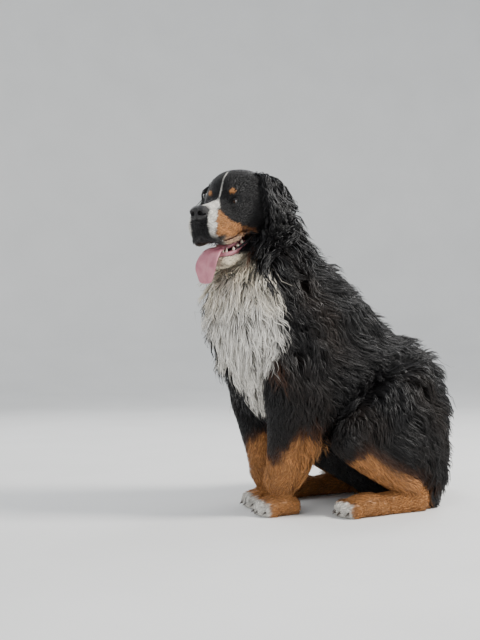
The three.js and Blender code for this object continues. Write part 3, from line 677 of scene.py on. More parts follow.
def head_colours(points):
    """Markings of the face, on head coordinates."""
    x, ahead, up = np.abs(points[:, 0]), -points[:, 1], points[:, 2]
    spot = np.stack([x, ahead, up], 1)
    ragged = 2.0 * waves(points, 12, seed=5)
    # Rust on the cheek, without the dark front, the painted shadow in the corner of the mouth and
    # the far lip
    band_line = np.interp(up, *WHITE_BAND)
    rust = smooth(3, -3, up - np.interp(ahead, *CHEEK_TOP) + ragged)
    rust *= smooth(26, 42, ahead + 2 * ragged) * smooth(3, -3, ahead - band_line + ragged)
    low = np.interp(ahead, *CHEEK_FOOT)
    rust *= smooth(low - 3, low + 3, up) * smooth(14, 22, x) * smooth(172, 164, ahead)
    rust *= np.maximum(smooth(-94, -84, up), smooth(144, 130, ahead))
    # No rust in the painted shadow at the corner of the mouth
    rust *= 1 - smooth(0.3, 0.6, bump(spot, *MOUTH_CORNER_SHADOW))
    rust *= 1 - smooth(-6, -14, points[:, 0]) * smooth(-88, -95, up) * smooth(92, 106, ahead)
    # It darkens downwards and backwards
    shaded = smooth(-84, -104, up) * smooth(100, 60, ahead) * 0.6
    shaded = np.maximum(shaded, 0.6 * smooth(66, 36, ahead))
    shaded = np.maximum(shaded, 0.35 + 0.35 * ragged - 0.02 * (ahead - 80))
    rim = smooth(-90, -103, up + ragged) * smooth(60, 90, ahead) * smooth(158, 138, ahead)
    brow = smooth(0.34, 0.56, bump(spot, *BROW_SPOT) + 0.03 * ragged)
    chin = smooth(80, 92, ahead + ragged) * smooth(-142, -150, up)
    ruff = smooth(-140, -154, up + ragged) * smooth(4, 26, ahead + 2 * ragged) * smooth(74, 60, x)
    corner = smooth(0.3, 0.6, bump(spot, *JAW_CORNER) + 0.05 * ragged)
    return layered(np.tile(BLACK, (len(points), 1)), [
        (RUST, rust),
        (DARK_RUST, shaded * rust),
        (PALE_LIP_HAIR, 0.55 * rim * smooth(-124, -116, up)),
        (RUST * 1.15, brow),
        (WHITE, muzzle_white(x, ahead, up, ragged)),
        (WHITE * 0.8, blaze_share(points, ahead, up)),
        (WHITE * 0.86, chin),
        # Cream under the chin: painted reflection
        (REFLECTED_CREAM, ruff),
        (DARK_RUST, corner * 0.8),
        (BLACK, smooth(70, 76, x) * smooth(52, 44, ahead)),
    ])


def bare_lips(points):
    """How near a head point is to the lip edges, from 0 to 1, and more so on their inner side."""
    near = np.zeros(len(points))
    for line in (UPPER_LIP, LOWER_LIP):
        places = between(line, np.linspace(0, len(line) - 1, 40))
        gaps = np.linalg.norm(folded(points)[:, None] - places[None], axis=2)
        inner = points[:, 2] - places[gaps.argmin(1), 2]
        reach = 4.4 + 2.4 * smooth(0, -4, inner if line is UPPER_LIP else -inner)
        near = np.maximum(near, smooth(reach, reach - 1.8, gaps.min(1)))
    return near


def mouth_share(points):
    """1 inside the mouth, on head coordinates."""
    x, ahead, up = np.abs(points[:, 0]), -points[:, 1], points[:, 2]
    half = np.interp(ahead, *MOUTH_HALF) + 2.5
    roof = np.interp(ahead, *MOUTH_ROOF) + 3
    inside = smooth(half + 1.5, half - 1.5, x) * smooth(roof + 2, roof - 1, up)
    return inside * smooth(16, 24, ahead) * smooth(168, 163, ahead) * smooth(-150, -146, up)


def body_colours(points):
    """Markings of the body, on the dog's own frame."""
    x, y, z = points.T
    ragged = waves(points, 60, seed=9)
    fine = waves(points, 22, seed=10)
    round_chest = np.degrees(np.arctan2(x, -y)) + 3.5 * ragged + 1.5 * fine
    near = np.interp(z, *BIB_NEAR)
    far = np.interp(z, *BIB_FAR)
    bib = smooth(near + 3, near - 3, round_chest) * smooth(far - 3, far + 3, round_chest)
    bib *= smooth(222, 262, z + 12 * fine) * smooth(40, 10, y) * smooth(726, 700, z + 10 * fine)
    # Dark rust beside the bib, on the chest and the throat
    patch = smooth(0.12, 0.55, bump(points, *CHEST_PATCH) + 0.1 * fine)
    throat = smooth(0.35, 0.7, bump(points, *THROAT_PATCH) + 0.08 * fine)
    return layered(np.tile(BLACK, (len(points), 1)), [
        (BROWN_BLACK, 0.75 * smooth(0.0, 1.3, waves(points, 170, seed=41))),
        (WHITE, bib),
        # Cream over the top of the bib: painted reflection
        (REFLECTED_CREAM, 0.6 * bib * smooth(560, 620, z + 14 * ragged)),
        (DARK_RUST * 1.3, 0.9 * patch),
        (DARK_RUST, 0.7 * throat),
        *foreleg_layers(points, ragged, fine),
        *hind_leg_layers(points, ragged, fine),
        *white_layers(points, ragged, fine),
    ])


def foreleg_layers(points, ragged, fine):
    """Rust that rises on the inner sides and is pale in the feathers behind."""
    x, y, z = points.T
    inner = smooth(96, 52, np.abs(x)) * 30
    edge = np.interp(y, *FORE_RUST) + inner * smooth(20, -40, y) + 9 * ragged + 6 * fine
    part = smooth(80, 68, y) * np.maximum(smooth(30, 40, np.abs(x)), smooth(150, 120, z))
    feather = smooth(30, 64, y) * smooth(edge + 6, edge - 30, z) * smooth(60, 90, z)
    return [
        (DARK_RUST, 0.6 * smooth(edge + 46, edge + 4, z) * part),
        (RUST, smooth(edge + 14, edge - 14, z) * part),
        (PALE_RUST, 0.7 * feather * part),
    ]


def hind_leg_layers(points, ragged, fine):
    """Rust from below the knee to the toes."""
    x, y, z = points.T
    edge = np.interp(y, *HIND_RUST)
    part = smooth(118, 128, y) * smooth(376, 356, y) * smooth(96, 112, np.abs(x))
    hind = smooth(edge + 12, edge - 12, z + 9 * ragged + 7 * fine) * part
    toes = smooth(126, 118, y) * smooth(80, 88, y) * smooth(110, 122, np.abs(x)) * smooth(96, 88, z)
    return [
        (DARK_RUST, 0.5 * smooth(edge + 60, edge + 6, z + 12 * ragged) * part),
        (RUST, np.maximum(hind, toes)),
    ]


def white_layers(points, ragged, fine):
    """White toes and the white tip of the tail."""
    x, y, z = points.T
    layers = []
    for paw in PAWS.values():
        front = paw["toe"] + 28 + 5 * ragged
        aside = np.abs(x - paw["x"]) - PAW_HALF
        white = smooth(front + 5, front - 5, y) * smooth(12, 4, aside)
        white *= smooth(52, 44, z) * smooth(paw["toe"] - 20, paw["toe"] - 10, y)
        layers.append((WHITE * 0.92, white))
    from_tip = np.linalg.norm(points - np.array(TAIL[-1][0]), axis=1)
    layers.append((WHITE * 0.95, smooth(78, 62, from_tip + 10 * fine) * smooth(90, 70, z)))
    return layers


def head_share(points):
    """1 on the face and skull, 0 on the body, from head coordinates."""
    front = smooth(-8, 8, -points[:, 1] + 0.25 * (points[:, 2] + 100))
    ears = smooth(66, 74, np.abs(points[:, 0])) * smooth(-132, -118, points[:, 2])
    crown = smooth(-70, -40, points[:, 2])
    return np.maximum(front, np.maximum(ears, crown)) * smooth(-188, -176, points[:, 2])


def markings(points):
    """Colours at points of the skin, in the dog's own frame."""
    head = to_head(points)
    on_head = head_share(head) * smooth(610, 636, points[:, 2])
    return blend(body_colours(points), head_colours(head), on_head)


def skin_colours(points):
    """The markings on the skin darkened as painted shade under the coat, with dark lips and nose bed
    and a pink mouth that has painted shade deeper within.
    """
    head = to_head(points)
    ahead = -head[:, 1]
    nose_bed = smooth(158, 163, ahead) * smooth(28, 25, np.abs(head[:, 0]))
    nose_bed *= smooth(-56, -52, head[:, 2])
    # The pink darkens further into the mouth as painted shade
    pink = blend(np.tile(FLESH, (len(points), 1)), SHADED_FLESH, smooth(110, 40, ahead))
    # The markings darkened to 0.8 are painted shade under the coat
    return layered(markings(points) * 0.8, [
        (LIP, np.maximum(bare_lips(head), nose_bed)),
        (pink, mouth_share(head) * smooth(152, 134, ahead)),
    ])


# Skin

TOUCHES = [  # centre and radii in head coordinates on the left side, and the rise in millimetres
    ([33, -78, 14], [17, 12, 8], 3.2),  # brow
    ([44, -92, -34], [15, 15, 8], -3.0),  # hollow under the eye
    ([60, -60, -22], [12, 14, 9], -2.0),  # behind the eye
    ([68, -44, 34], [14, 24, 18], -3.0),  # temple
    ([76, -14, -38], [20, 30, 30], 3.5),  # cheek muscle
    ([34, -152, -70], [15, 20, 14], 3.0),  # whisker pad
    ([45, -112, -84], [12, 30, 14], 2.5),  # flew
    ([38, -134, -46], [8, 26, 5], -1.6),  # line over the flew
    ([54, -66, -88], [6, 10, 10], -2.2),  # fold before the corner of the mouth
    ([60, -44, -80], [6, 8, 14], 2.0),  # fold behind it
    ([20, -118, -8], [8, 26, 6], 1.2),  # edge of the bridge
]


SOCKET = ([42, -92, -8], [18, 19, 15])  # middle and radii of the left one, on the head


def head_skin():
    forms = [skull.surface(-INSET, 72), jaw.surface(-INSET, 48)]
    for side in (1, -1):
        forms.append(ridge(UPPER_LIP, 4.4, side).surface(sides=16, steps=2))
        forms.append(ridge(LOWER_LIP, 3.8, side).surface(sides=16, steps=2))
        forms.append(ear(side).surface(-1, steps=6))
    head = remeshed(head_object("head_skin", *joined(forms)), HEAD_VOXEL)
    holes = [mouth_space.surface(sides=32, steps=6)]
    for side in (1, -1):
        holes.append(ellipsoid(mirrored(SOCKET[0], side), SOCKET[1], side * EYE_TURN))
    for points, faces in holes:
        cutter = head_object("hole", points, faces)
        if signed_volume(cutter.data) < 0:
            cutter.data.flip_normals()
        head = combined(head, cutter, "DIFFERENCE")
    return remeshed(head, HEAD_VOXEL)


def signed_volume(mesh):
    """Six times the volume, below nothing where the faces look inwards."""
    a, b, c = read(mesh.vertices, "co", 3)[read_triangles(mesh)].transpose(1, 0, 2)
    return (np.cross(a, b) * c).sum()


def touched(points, normals):
    """The head's small forms, pushed out of or into the smooth skin."""
    head = to_head(points)
    rise = np.zeros(len(points))
    for centre, radii, height in TOUCHES:
        rise += height * bump(folded(head), centre, radii)
    ahead, up = -head[:, 1], head[:, 2]
    # The furrow of the forehead, the groove under the nose and the ridges of the palate
    furrow = line_at(head[:, 0], 5) * smooth(30, 60, ahead) * smooth(110, 92, ahead)
    rise -= 2.4 * furrow * smooth(-20, 0, up)
    philtrum = line_at(head[:, 0], 2.6) * smooth(160, 172, ahead)
    rise -= 3.0 * philtrum * smooth(-108, -96, up) * smooth(-44, -50, up)
    rugae = mouth_share(head) * smooth(-92, -84, up) * smooth(150, 140, ahead)
    rise += 0.9 * rugae * np.sin(ahead / 1.6 + np.abs(head[:, 0]) / 9)
    return points + normals * rise[:, None]


def body_skin():
    """Trunk, tail and upper legs in coarse voxels, joined with the feet in fine ones."""
    coarse = [trunk.surface(-2, 56, 3), tail_form().surface(-1, 32)]
    fine = []
    for side in (1, -1):
        coarse.append(foreleg(side).surface(-INSET, steps=3))
        coarse.append(thigh(side).surface(-2, steps=3))
        coarse.append(shank(side).surface(-INSET, 32, 3))
        fine.append(instep(side).surface(-INSET, 32, 3))
    for paw in PAWS.values():
        fine.append(foot_form(paw).surface(-INSET, 32, 3))
        for centre in toe_centres(paw):
            fine.append(ellipsoid(centre, TOE_RADII - TOE_INSET))
    body = remeshed(own_object("body_skin", *joined(coarse)), BODY_VOXEL)
    feet = remeshed(own_object("feet_skin", *joined(fine)), PAW_VOXEL)
    return combined(body, feet, "UNION")


def whole_skin():
    """Head, body and feet as one skin, evened out, with the head's small forms on it."""
    skin = combined(head_skin(), body_skin(), "UNION")
    skin.name = "skin"
    mesh = skin.data
    edges = read_edges(mesh)
    points = relaxed(own_points(mesh), edges, 3)
    # The joint between foot and leg is evened out further
    z = points[:, 2]
    pastern = smooth(34, 44, z) * smooth(84, 70, z) * smooth(110, 90, np.abs(points[:, 1]))
    points = relaxed(points, edges, 40, 0.6, keep=1 - pastern)
    write_points(mesh, points)
    points = relaxed(touched(points, read_normals(mesh)), edges, 1, 0.4)
    points[:, 2] = np.maximum(points[:, 2], FLOOR_CLEAR)
    write_points(mesh, points)
    return skin


def unwrapped(obj):
    """The skin's own unwrap, as the map OFBake."""
    obj.data.uv_layers.new(name="OFBake")
    bpy.context.view_layer.objects.active = obj
    obj.select_set(True)
    bpy.ops.object.mode_set(mode="EDIT")
    bpy.ops.mesh.select_all(action="SELECT")
    bpy.ops.uv.smart_project(angle_limit=math.radians(62), island_margin=0.002)
    bpy.ops.object.mode_set(mode="OBJECT")
    obj.select_set(False)
    return obj


def set_colours(mesh, colours):
    layer = mesh.color_attributes.new("tint", "FLOAT_COLOR", "POINT")
    full = np.ones((len(colours), 4), np.float32)
    full[:, :3] = colours
    layer.data.foreach_set("color", full.ravel())


# Coat

class Field:
    """Where the coat lies at each skin point: its way, depth, length, wave, lift and bareness."""

    def __init__(self, skin):
        self.points = own_points(skin.data)
        self.normals = read_normals(skin.data)
        self.tree = search_tree(self.points)
        edges = read_edges(skin.data)
        samples = coat_samples()
        near = nearest(search_tree(samples["point"]), self.points)
        way = samples["way"][near]
        rest = np.stack([samples[key][near] for key in ("depth", "length", "wave", "lift")], 1)
        values = relaxed(np.concatenate([way, rest], 1), edges, 14, 0.6)
        way, rest = values[:, :3], values[:, 3:]
        way = np.where(self.points[:, 2:] > HEAD_BASE, way, relaxed(way, edges, 40, 0.6))
        self.way = unit(way - self.normals * (way * self.normals).sum(1, keepdims=True))
        self.depth, self.length, self.wave, self.lift = rest.T
        self.fit_head()
        self.bare = bare_share(self.points)

    def fit_head(self):
        """Short hair in front of the ears and at the mouth, and longer hair on the nape."""
        head = folded(to_head(self.points))
        out, ahead, up = head[:, 0], -head[:, 1], head[:, 2]
        satin = smooth(68, 76, out) * smooth(6, 18, ahead) * smooth(-112, -96, up)
        self.length = self.length * (1 - 0.72 * satin)
        self.wave = self.wave * (1 - 0.8 * satin)
        on_skull = smooth(84, 74, out) * smooth(-90, -50, up)
        self.length = self.length + 20 * smooth(-4, 50, -ahead) * on_skull
        mouth_corner = bump(head, [54, -38, -112], [18, 24, 24])
        self.length = self.length * (1 - 0.65 * smooth(0.2, 0.7, mouth_corner))

    def nearest(self, points):
        return nearest(self.tree, points)


# How the coat of each form lies: its way along the form (0 is down and back), the hair's length
# at the least depth, more length for each millimetre of depth, wave, lift and least depth
COAT_STYLES = {
    "trunk": (1, 10, 2.0, 1.0, 1.0, 4),
    "foreleg": (1, 16, 2.3, 0.8, 1.1, 4),
    "thigh": (0, 12, 2.2, 1.0, 1.0, 4),
    "shank": (1, 24, 1.5, 0.4, 1.0, 6),
    "instep": (1, 15, 1.5, 0.1, 0.8, 4),
    "foot": (1, 12, 1.5, 0.0, 0.7, 3.5),
    "tail": (1, 14, 2.6, 0.9, 1.0, 4),
    "skull": (-1, 7.5, 1.5, 0.1, 0.6, 3.2),
    "jaw": (-1, 14, 1.5, 0.2, 0.8, 4),
    "ear": (1, 12, 4.6, 1.2, 1.35, 4),
}
DOWN_AND_BACK = [0.0, 0.5, -0.87]


def coat_forms():
    """Every form that bears hair, with its style and whether it is in head coordinates."""
    yield "trunk", trunk, False
    yield "tail", tail_form(), False
    yield "skull", skull, True
    yield "jaw", jaw, True
    for side in (1, -1):
        yield "foreleg", foreleg(side), False
        yield "thigh", thigh(side), False
        yield "shank", shank(side), False
        yield "instep", instep(side), False
        yield "ear", ear(side), True
    for paw in PAWS.values():
        yield "foot", foot_form(paw), False


def coat_samples():
    """Places spread over all forms, with the way and size of the hair at each."""
    samples = []
    for name, form, on_head in coat_forms():
        lie, base, for_depth, wave, lift, least = COAT_STYLES[name]
        place, angle = pairs(np.arange(-0.9, form.last + 0.95, 0.2), around(40))
        grow = -2 if name in ("trunk", "thigh") else -INSET
        point = form.points(place, angle, 0.0, grow)
        tip = form.points(place, angle, 1.0)
        way = lie * (form.points(place + 0.04, angle, 0.4) - form.points(place - 0.04, angle, 0.4))
        way = way + (lie == 0) * np.array(DOWN_AND_BACK)
        depth = np.maximum(np.linalg.norm(tip - point, axis=1), least)
        if on_head:
            way = way @ HEAD_AXES.T
            point = to_body(point)
        samples.append({
            "point": point, "way": unit(way), "depth": depth,
            "length": base + for_depth * np.maximum(depth - least, 0),
            "wave": np.full(len(point), float(wave)), "lift": np.full(len(point), float(lift)),
        })
    return {key: np.concatenate([sample[key] for sample in samples]) for key in samples[0]}


def bare_share(points):
    """1 where no hair grows: lips, mouth, round the eyeballs, the nose and the soles."""
    head = to_head(points)
    bare = np.maximum(bare_lips(head), mouth_share(head))
    for side in (1, -1):
        gap = np.linalg.norm(head - mirrored(EYE, side), axis=1)
        bare = np.maximum(bare, smooth(20.5, 18, gap))
    nose = smooth(162, 168, -head[:, 1]) * smooth(27, 23, np.abs(head[:, 0]))
    nose *= smooth(-56, -50, head[:, 2])
    bare = np.maximum(bare, nose)
    return np.maximum(bare, smooth(4, 1.5, points[:, 2]))


def scattered(field, corners, weight, count):
    """Random triangle numbers and barycentric shares, by area times weight."""
    a, b, c = field.points[corners].transpose(1, 0, 2)
    area = np.linalg.norm(np.cross(b - a, c - a), axis=1) / 2
    chance = area * weight[corners].mean(1)
    chosen = random.choice(len(corners), count, p=chance / chance.sum())
    first, second = random.random((2, count))
    root = np.sqrt(first)
    return chosen, np.stack([1 - root, root * (1 - second), root * second], 1)


def spaced(points, cells):
    """Indices of points, one to each cell of a grid, where cells gives the cell at each point."""
    keys = np.floor(points / cells[:, None]).astype(int)
    keys = np.concatenate([keys, np.round(cells)[:, None].astype(int)], 1)
    return np.sort(np.unique(keys, axis=0, return_index=True)[1])


GUIDE_STATIONS = 13
ROOT_DEPTH = 1.2  # how far each path starts under the skin
WAVELENGTH = 66  # of the waves in long hair, on average
SWAY = 0.78  # how far wavy hair swings to the sides
SWELL = 0.22  # how far it swings out and in
FILL = 0.93  # share of the coat's depth that lifted hair fills
FALL_BACK = 0.4  # share of the height over the coat that hair loses at each step
FOLLOW = 0.45  # how much of the coat's own way hair takes on at each step
DOWN = np.array([0, 0, -1.0])


def grown_guides(field, roots, length_share):
    """Paths that hair follows over the skin from each root, as positions and normals."""
    near = field.nearest(roots)
    length = field.length[near] * length_share
    wave = field.wave[near]
    free = np.minimum(wave, 1)
    rising = 0.88 - 0.18 * free + (0.1 + 0.32 * free) * random.random(len(roots))
    top = field.lift[near] * rising * FILL
    phase = 3.4 * waves(roots, 150, seed=21) + 0.9 * random.random(len(roots))
    turns = 2 * math.pi * length / (WAVELENGTH + 16 * waves(roots, 210, seed=22))
    sideways = (0.05 + 0.11 * free) * random.normal(size=len(roots))
    heading = field.way[near]
    heading = unit(heading + np.cross(field.normals[near], heading) * sideways[:, None])
    place = roots
    path, outward = [place - ROOT_DEPTH * field.normals[near]], [field.normals[near]]
    step = length[:, None] / (GUIDE_STATIONS - 1)
    droop = DOWN * np.minimum(length / 60, 1.3)[:, None]
    for t in np.linspace(0, 1, GUIDE_STATIONS)[1:]:
        # One step onwards, then up to the height that the hair keeps over the skin there
        side = np.cross(field.normals[near], heading)
        sway = wave * SWAY * np.cos(phase + turns * t)
        moved = place + unit(heading + side * sway[:, None] + droop * (0.05 + 0.1 * t)) * step
        near = field.nearest(moved)
        normal = field.normals[near]
        height = ((moved - field.points[near]) * normal).sum(1)
        swell = 1 + SWELL * wave * np.sin(phase * 1.3 + turns * t)
        target = field.depth[near] * top * t ** 0.7 * swell
        change = (target - height) * np.where(height < target, 1, FALL_BACK)
        place = moved + normal * change[:, None]
        heading = unit((1 - FOLLOW) * heading + FOLLOW * field.way[near])
        path.append(place)
        outward.append(normal)
    return np.stack(path, 1), np.stack(outward, 1)


def along(path, share):
    """Positions on paths at shares of their length."""
    scaled = np.clip(share, 0, 1) * (path.shape[1] - 1)
    low = np.minimum(scaled.astype(int), path.shape[1] - 2)
    rows = np.arange(len(path))[:, None]
    part = (scaled - low)[..., None]
    return path[rows, low] * (1 - part) + path[rows, low + 1] * part


# Each kind of tuft: how many there are and how many to a piece, stations along a tuft and the
# share of its width at each, its width by the hair's length, the size of the cells that share a
# guide, how many cells' width a lock gathers, how much tufts roll, the least and the spread of
# their share of the hair's length and of their clumping, and the share of thin stray ones
WAVY = {
    "widths": ([20, 40, 90, 130], [2.2, 3.0, 4.3, 4.9]), "cells": (5, 20), "lock": 2.83,
    "roll": 0.45, "reach": (0.66, 0.38), "clump": (0.2, 0.5), "wisps": 0.07,
}
STRAIGHT = {
    "widths": ([7, 12, 24], [1.25, 1.9, 2.6]), "cells": (4.5, 4.5), "lock": 0,
    "roll": 0.2, "reach": (0.75, 0.3), "clump": (0, 0.12), "wisps": 0,
}
TUFT_KINDS = {
    "long": {**WAVY, "count": 30000, "piece": 7300, "stations": [0, 0.2, 0.42, 0.63, 0.83, 1],
             "profile": [0.7, 1, 1, 0.84, 0.5, 0]},
    "middle": {**WAVY, "count": 16000, "piece": 13000, "stations": [0, 0.33, 0.68, 1],
               "profile": [0.75, 1, 0.7, 0]},
    "short": {**STRAIGHT, "count": 46000, "piece": 21000, "stations": [0, 0.5, 1],
              "profile": [0.8, 1, 0]},
}
GUIDES_APART = 0.22  # of the hair's length
WISP_WIDTH = 0.45
STRAY, WISP_STRAY = 0.07, 0.24  # how far tips stray to the side, as a share of the length
CREST = 0.5  # height of a tuft over its half width
HAIRS_PER_MM = 1.5
HAIR_STREAKS_PER_MM = 0.05
STRAND_SPREAD = 9000  # keeps the single hairs of one tuft unlike those of the next
STRAND_SLANT = 0.37
PATCH = 0.003  # size of a tuft's place on the map
ROOT_SHADE, END_SHADE, TIP_SHADE = 0.72, 1.06, 1.12
WHITE_ABOVE, BLACK_BELOW = 0.33, 0.02  # brightness of a tuft's colour
WARM_ABOVE = 1.6  # red over blue


def gathered(roots, path, cells):
    """Guides drawn together towards their tips into locks of several."""
    firsts = spaced(roots, cells)
    mine = firsts[nearest(search_tree(roots[firsts]), roots)]
    share = np.linspace(0, 1, path.shape[1])[None, :, None]
    offset = (roots - roots[mine])[:, None] * (1 - 0.75 * share ** 1.3)
    led = path[mine] + offset
    return path + (led - path) * 0.55 * share


def tuft_tubes(kind, roots, guides, lengths, widths, clump, stray):
    """Points of closed three-sided tufts that taper to a tip, along their guides."""
    path, outward = guides
    share = np.array(kind["stations"])[None] * lengths[:, None]
    centre = along(path, share)
    tangent = unit(along(path, share + 0.06) - along(path, share - 0.06))
    side = unit(np.cross(tangent, unit(along(outward, share))))
    roll = kind["roll"] * random.normal(size=len(roots))[:, None, None]
    side = side * np.cos(roll) + np.cross(side, tangent) * np.sin(roll)
    up = np.cross(side, tangent)
    offset = (roots - path[:, 0])[:, None] * (1 - clump[:, None] * share ** 1.2)[..., None]
    reach = np.linalg.norm(path[:, -1] - path[:, 0], axis=1)
    loose = random.normal(size=len(roots)) * stray * lengths * reach
    centre = centre + offset + side * (loose[:, None] * share)[..., None]
    half = (widths[:, None] * np.array(kind["profile"])[None] / 2)[..., None]
    return np.stack([centre - side * half, centre + up * half * CREST, centre + side * half], 2)


def tuft_faces(count, rings):
    """Quads and tip triangles of tufts with `rings` rings of three points and one tip."""
    size = rings * 3 + 1
    end = size - 4
    tips = [(end + j, end + (j + 1) % 3, size - 1) for j in range(3)]
    starts = np.arange(count)[:, None, None] * size
    return ((np.array(ring_faces(rings, 3))[None] + starts).reshape(-1, 4),
            (np.array(tips)[None] + starts).reshape(-1, 3))


def strand_places(tufts, patch):
    """Across, along and number of each tuft's points, for the single hairs drawn on it."""
    number = tufts["uv"].sum(1) * STRAND_SPREAD
    places = np.zeros((len(number), len(patch), 3))
    places[..., 0] = patch[None, :, 0] * tufts["width"][:, None] * HAIRS_PER_MM + number[:, None]
    places[..., 1] = (patch[None, :, 1] + 0.5) * tufts["length"][:, None] * HAIR_STREAKS_PER_MM
    places[..., 2] = number[:, None] * STRAND_SLANT
    return places.reshape(-1, 3)


def tuft_mesh(name, tufts):
    """One mesh of many tufts, with their colours and each one's patch in the map OFBake."""
    tube = tufts["tube"]
    count, stations = tube.shape[:2]
    rings = stations - 1
    body = tube[:, :rings].reshape(count, rings * 3, 3)
    points = np.concatenate([body, tube[:, -1:, 1]], 1).reshape(-1, 3)
    points[:, 2] = np.maximum(points[:, 2], FLOOR_CLEAR)
    quads, tips = tuft_faces(count, rings)
    corners = np.concatenate([quads.ravel(), tips.ravel()])
    starts = np.concatenate([np.arange(len(quads)) * 4, len(quads) * 4 + np.arange(len(tips)) * 3])
    mesh = bpy.data.meshes.new(name)
    mesh.vertices.add(len(points))
    mesh.vertices.foreach_set("co", to_world(points).astype(np.float32).ravel())
    mesh.loops.add(len(corners))
    mesh.loops.foreach_set("vertex_index", corners.astype(np.int32))
    mesh.polygons.add(len(starts))
    mesh.polygons.foreach_set("loop_start", starts.astype(np.int32))
    mesh.update(calc_edges=True)
    patch = np.full((rings * 3 + 1, 2), [0, 0.5])
    patch[:-1, 0] = np.tile([-0.5, 0, 0.5], rings)
    patch[:-1, 1] = np.repeat(np.arange(rings) / rings, 3) - 0.5
    uv = (tufts["uv"][:, None] + patch[None] * PATCH).reshape(-1, 2)
    layer = mesh.uv_layers.new(name="OFBake")
    layer.data.foreach_set("uv", uv[corners].astype(np.float32).ravel())
    fade = np.append(np.repeat(np.linspace(ROOT_SHADE, END_SHADE, rings), 3), TIP_SHADE)
    set_colours(mesh, (tufts["colour"][:, None] * fade[None, :, None]).reshape(-1, 3))
    strand = mesh.attributes.new("strand", "FLOAT_VECTOR", "POINT")
    strand.data.foreach_set("vector", strand_places(tufts, patch).astype(np.float32).ravel())
    return linked(bpy.data.objects.new(name, mesh))


def finishes(colours):
    """black, white or rust for each tuft."""
    bright = colours.mean(1)
    warm = colours[:, 0] / np.maximum(colours[:, 2], 1e-4)
    rust = (bright > BLACK_BELOW) & (warm > WARM_ABOVE)
    return np.where(bright > WHITE_ABOVE, "white", np.where(rust, "rust", "black"))


def tuft_chances(field):
    """Chance of each kind of tuft at each skin point, by the hair's length and the bareness."""
    clear = 1 - smooth(0.3, 0.7, field.bare)
    over_short = smooth(20, 26, field.length)
    over_middle = smooth(46, 58, field.length)
    on_head = smooth(HEAD_BASE, HEAD_BASE + 40, field.points[:, 2])
    return {
        "long": clear * over_middle,
        "middle": clear * over_short * (1 - over_middle),
        "short": clear * (1 - over_short) * (1 + 4 * on_head),
    }


def coat_tufts(kind, field, chance, corners, corner_uv):
    """All tufts of one kind: their tubes, colours, roots, widths, lengths and places on the map."""
    count = int(kind["count"] * SHARE)
    chosen, shares = scattered(field, corners, chance, count)
    roots = (field.points[corners[chosen]] * shares[..., None]).sum(1)
    length = field.length[field.nearest(roots)]
    cells = np.clip(length * GUIDES_APART, *kind["cells"])
    cells = 2.0 ** (np.round(np.log2(cells) * 2) / 2)
    firsts = spaced(roots, cells)
    guide_roots = roots[firsts]
    spread = np.clip(1 + 0.12 * random.normal(size=len(firsts)), 0.7, 1.3)
    path, outward = grown_guides(field, guide_roots, spread)
    if kind["lock"]:
        path = gathered(guide_roots, path, cells[firsts] * kind["lock"])
    jitter = random.normal(size=roots.shape) * (cells * 0.16)[:, None]
    mine = nearest(search_tree(guide_roots), roots + jitter)
    reach = kind["reach"][0] + kind["reach"][1] * random.random(count)
    clump = kind["clump"][0] + kind["clump"][1] * random.random(count)
    wisp = random.random(count) < kind["wisps"]
    widths = np.interp(length, *kind["widths"]) * (0.65 + 0.45 * random.random(count))
    widths = widths * np.where(wisp, WISP_WIDTH, 1)
    stray = np.where(wisp, WISP_STRAY, STRAY)
    guides = path[mine], outward[mine]
    tubes = tuft_tubes(kind, roots, guides, reach, widths, clump, stray)
    shade = 1 + 0.14 * random.normal(size=count).clip(-1.6, 1.8) + 0.1 * waves(roots, 45, seed=31)
    return {"tube": tubes, "colour": markings(roots) * shade[:, None], "root": roots,
            "uv": (corner_uv[chosen] * shares[..., None]).sum(1), "width": widths,
            "length": length * reach}


def grow_coat(field, skin):
    """The whole coat, in pieces of one kind and finish, from the back of the dog to its front."""
    materials = {
        "black": tinted_material("fur_black", (0.36, 0.54), 0.42),
        "white": tinted_material("fur_white", (0.5, 0.75), 0.3, 0.1),
        "rust": tinted_material("fur_rust", (0.45, 0.65), 0.3, 0.05),
    }
    corners = read_triangles(skin.data)
    loops = read_triangles(skin.data, "loops")
    corner_uv = read(skin.data.uv_layers["OFBake"].data, "uv", 2)[loops]
    chances = tuft_chances(field)
    for kind_name, kind in TUFT_KINDS.items():
        tufts = coat_tufts(kind, field, chances[kind_name] + 1e-9, corners, corner_uv)
        finish_of = finishes(tufts["colour"])
        for finish, material in materials.items():
            own = np.flatnonzero(finish_of == finish)
            own = own[np.argsort(tufts["root"][own, 2] - tufts["root"][own, 1])]
            parts = max(1, math.ceil(len(own) / kind["piece"]))
            for number, part in enumerate(np.array_split(own, parts)):
                name = f"coat_{finish}_{kind_name}_{number + 1}"
                piece = tuft_mesh(name, {key: values[part] for key, values in tufts.items()})
                dress(piece, material)


# Materials

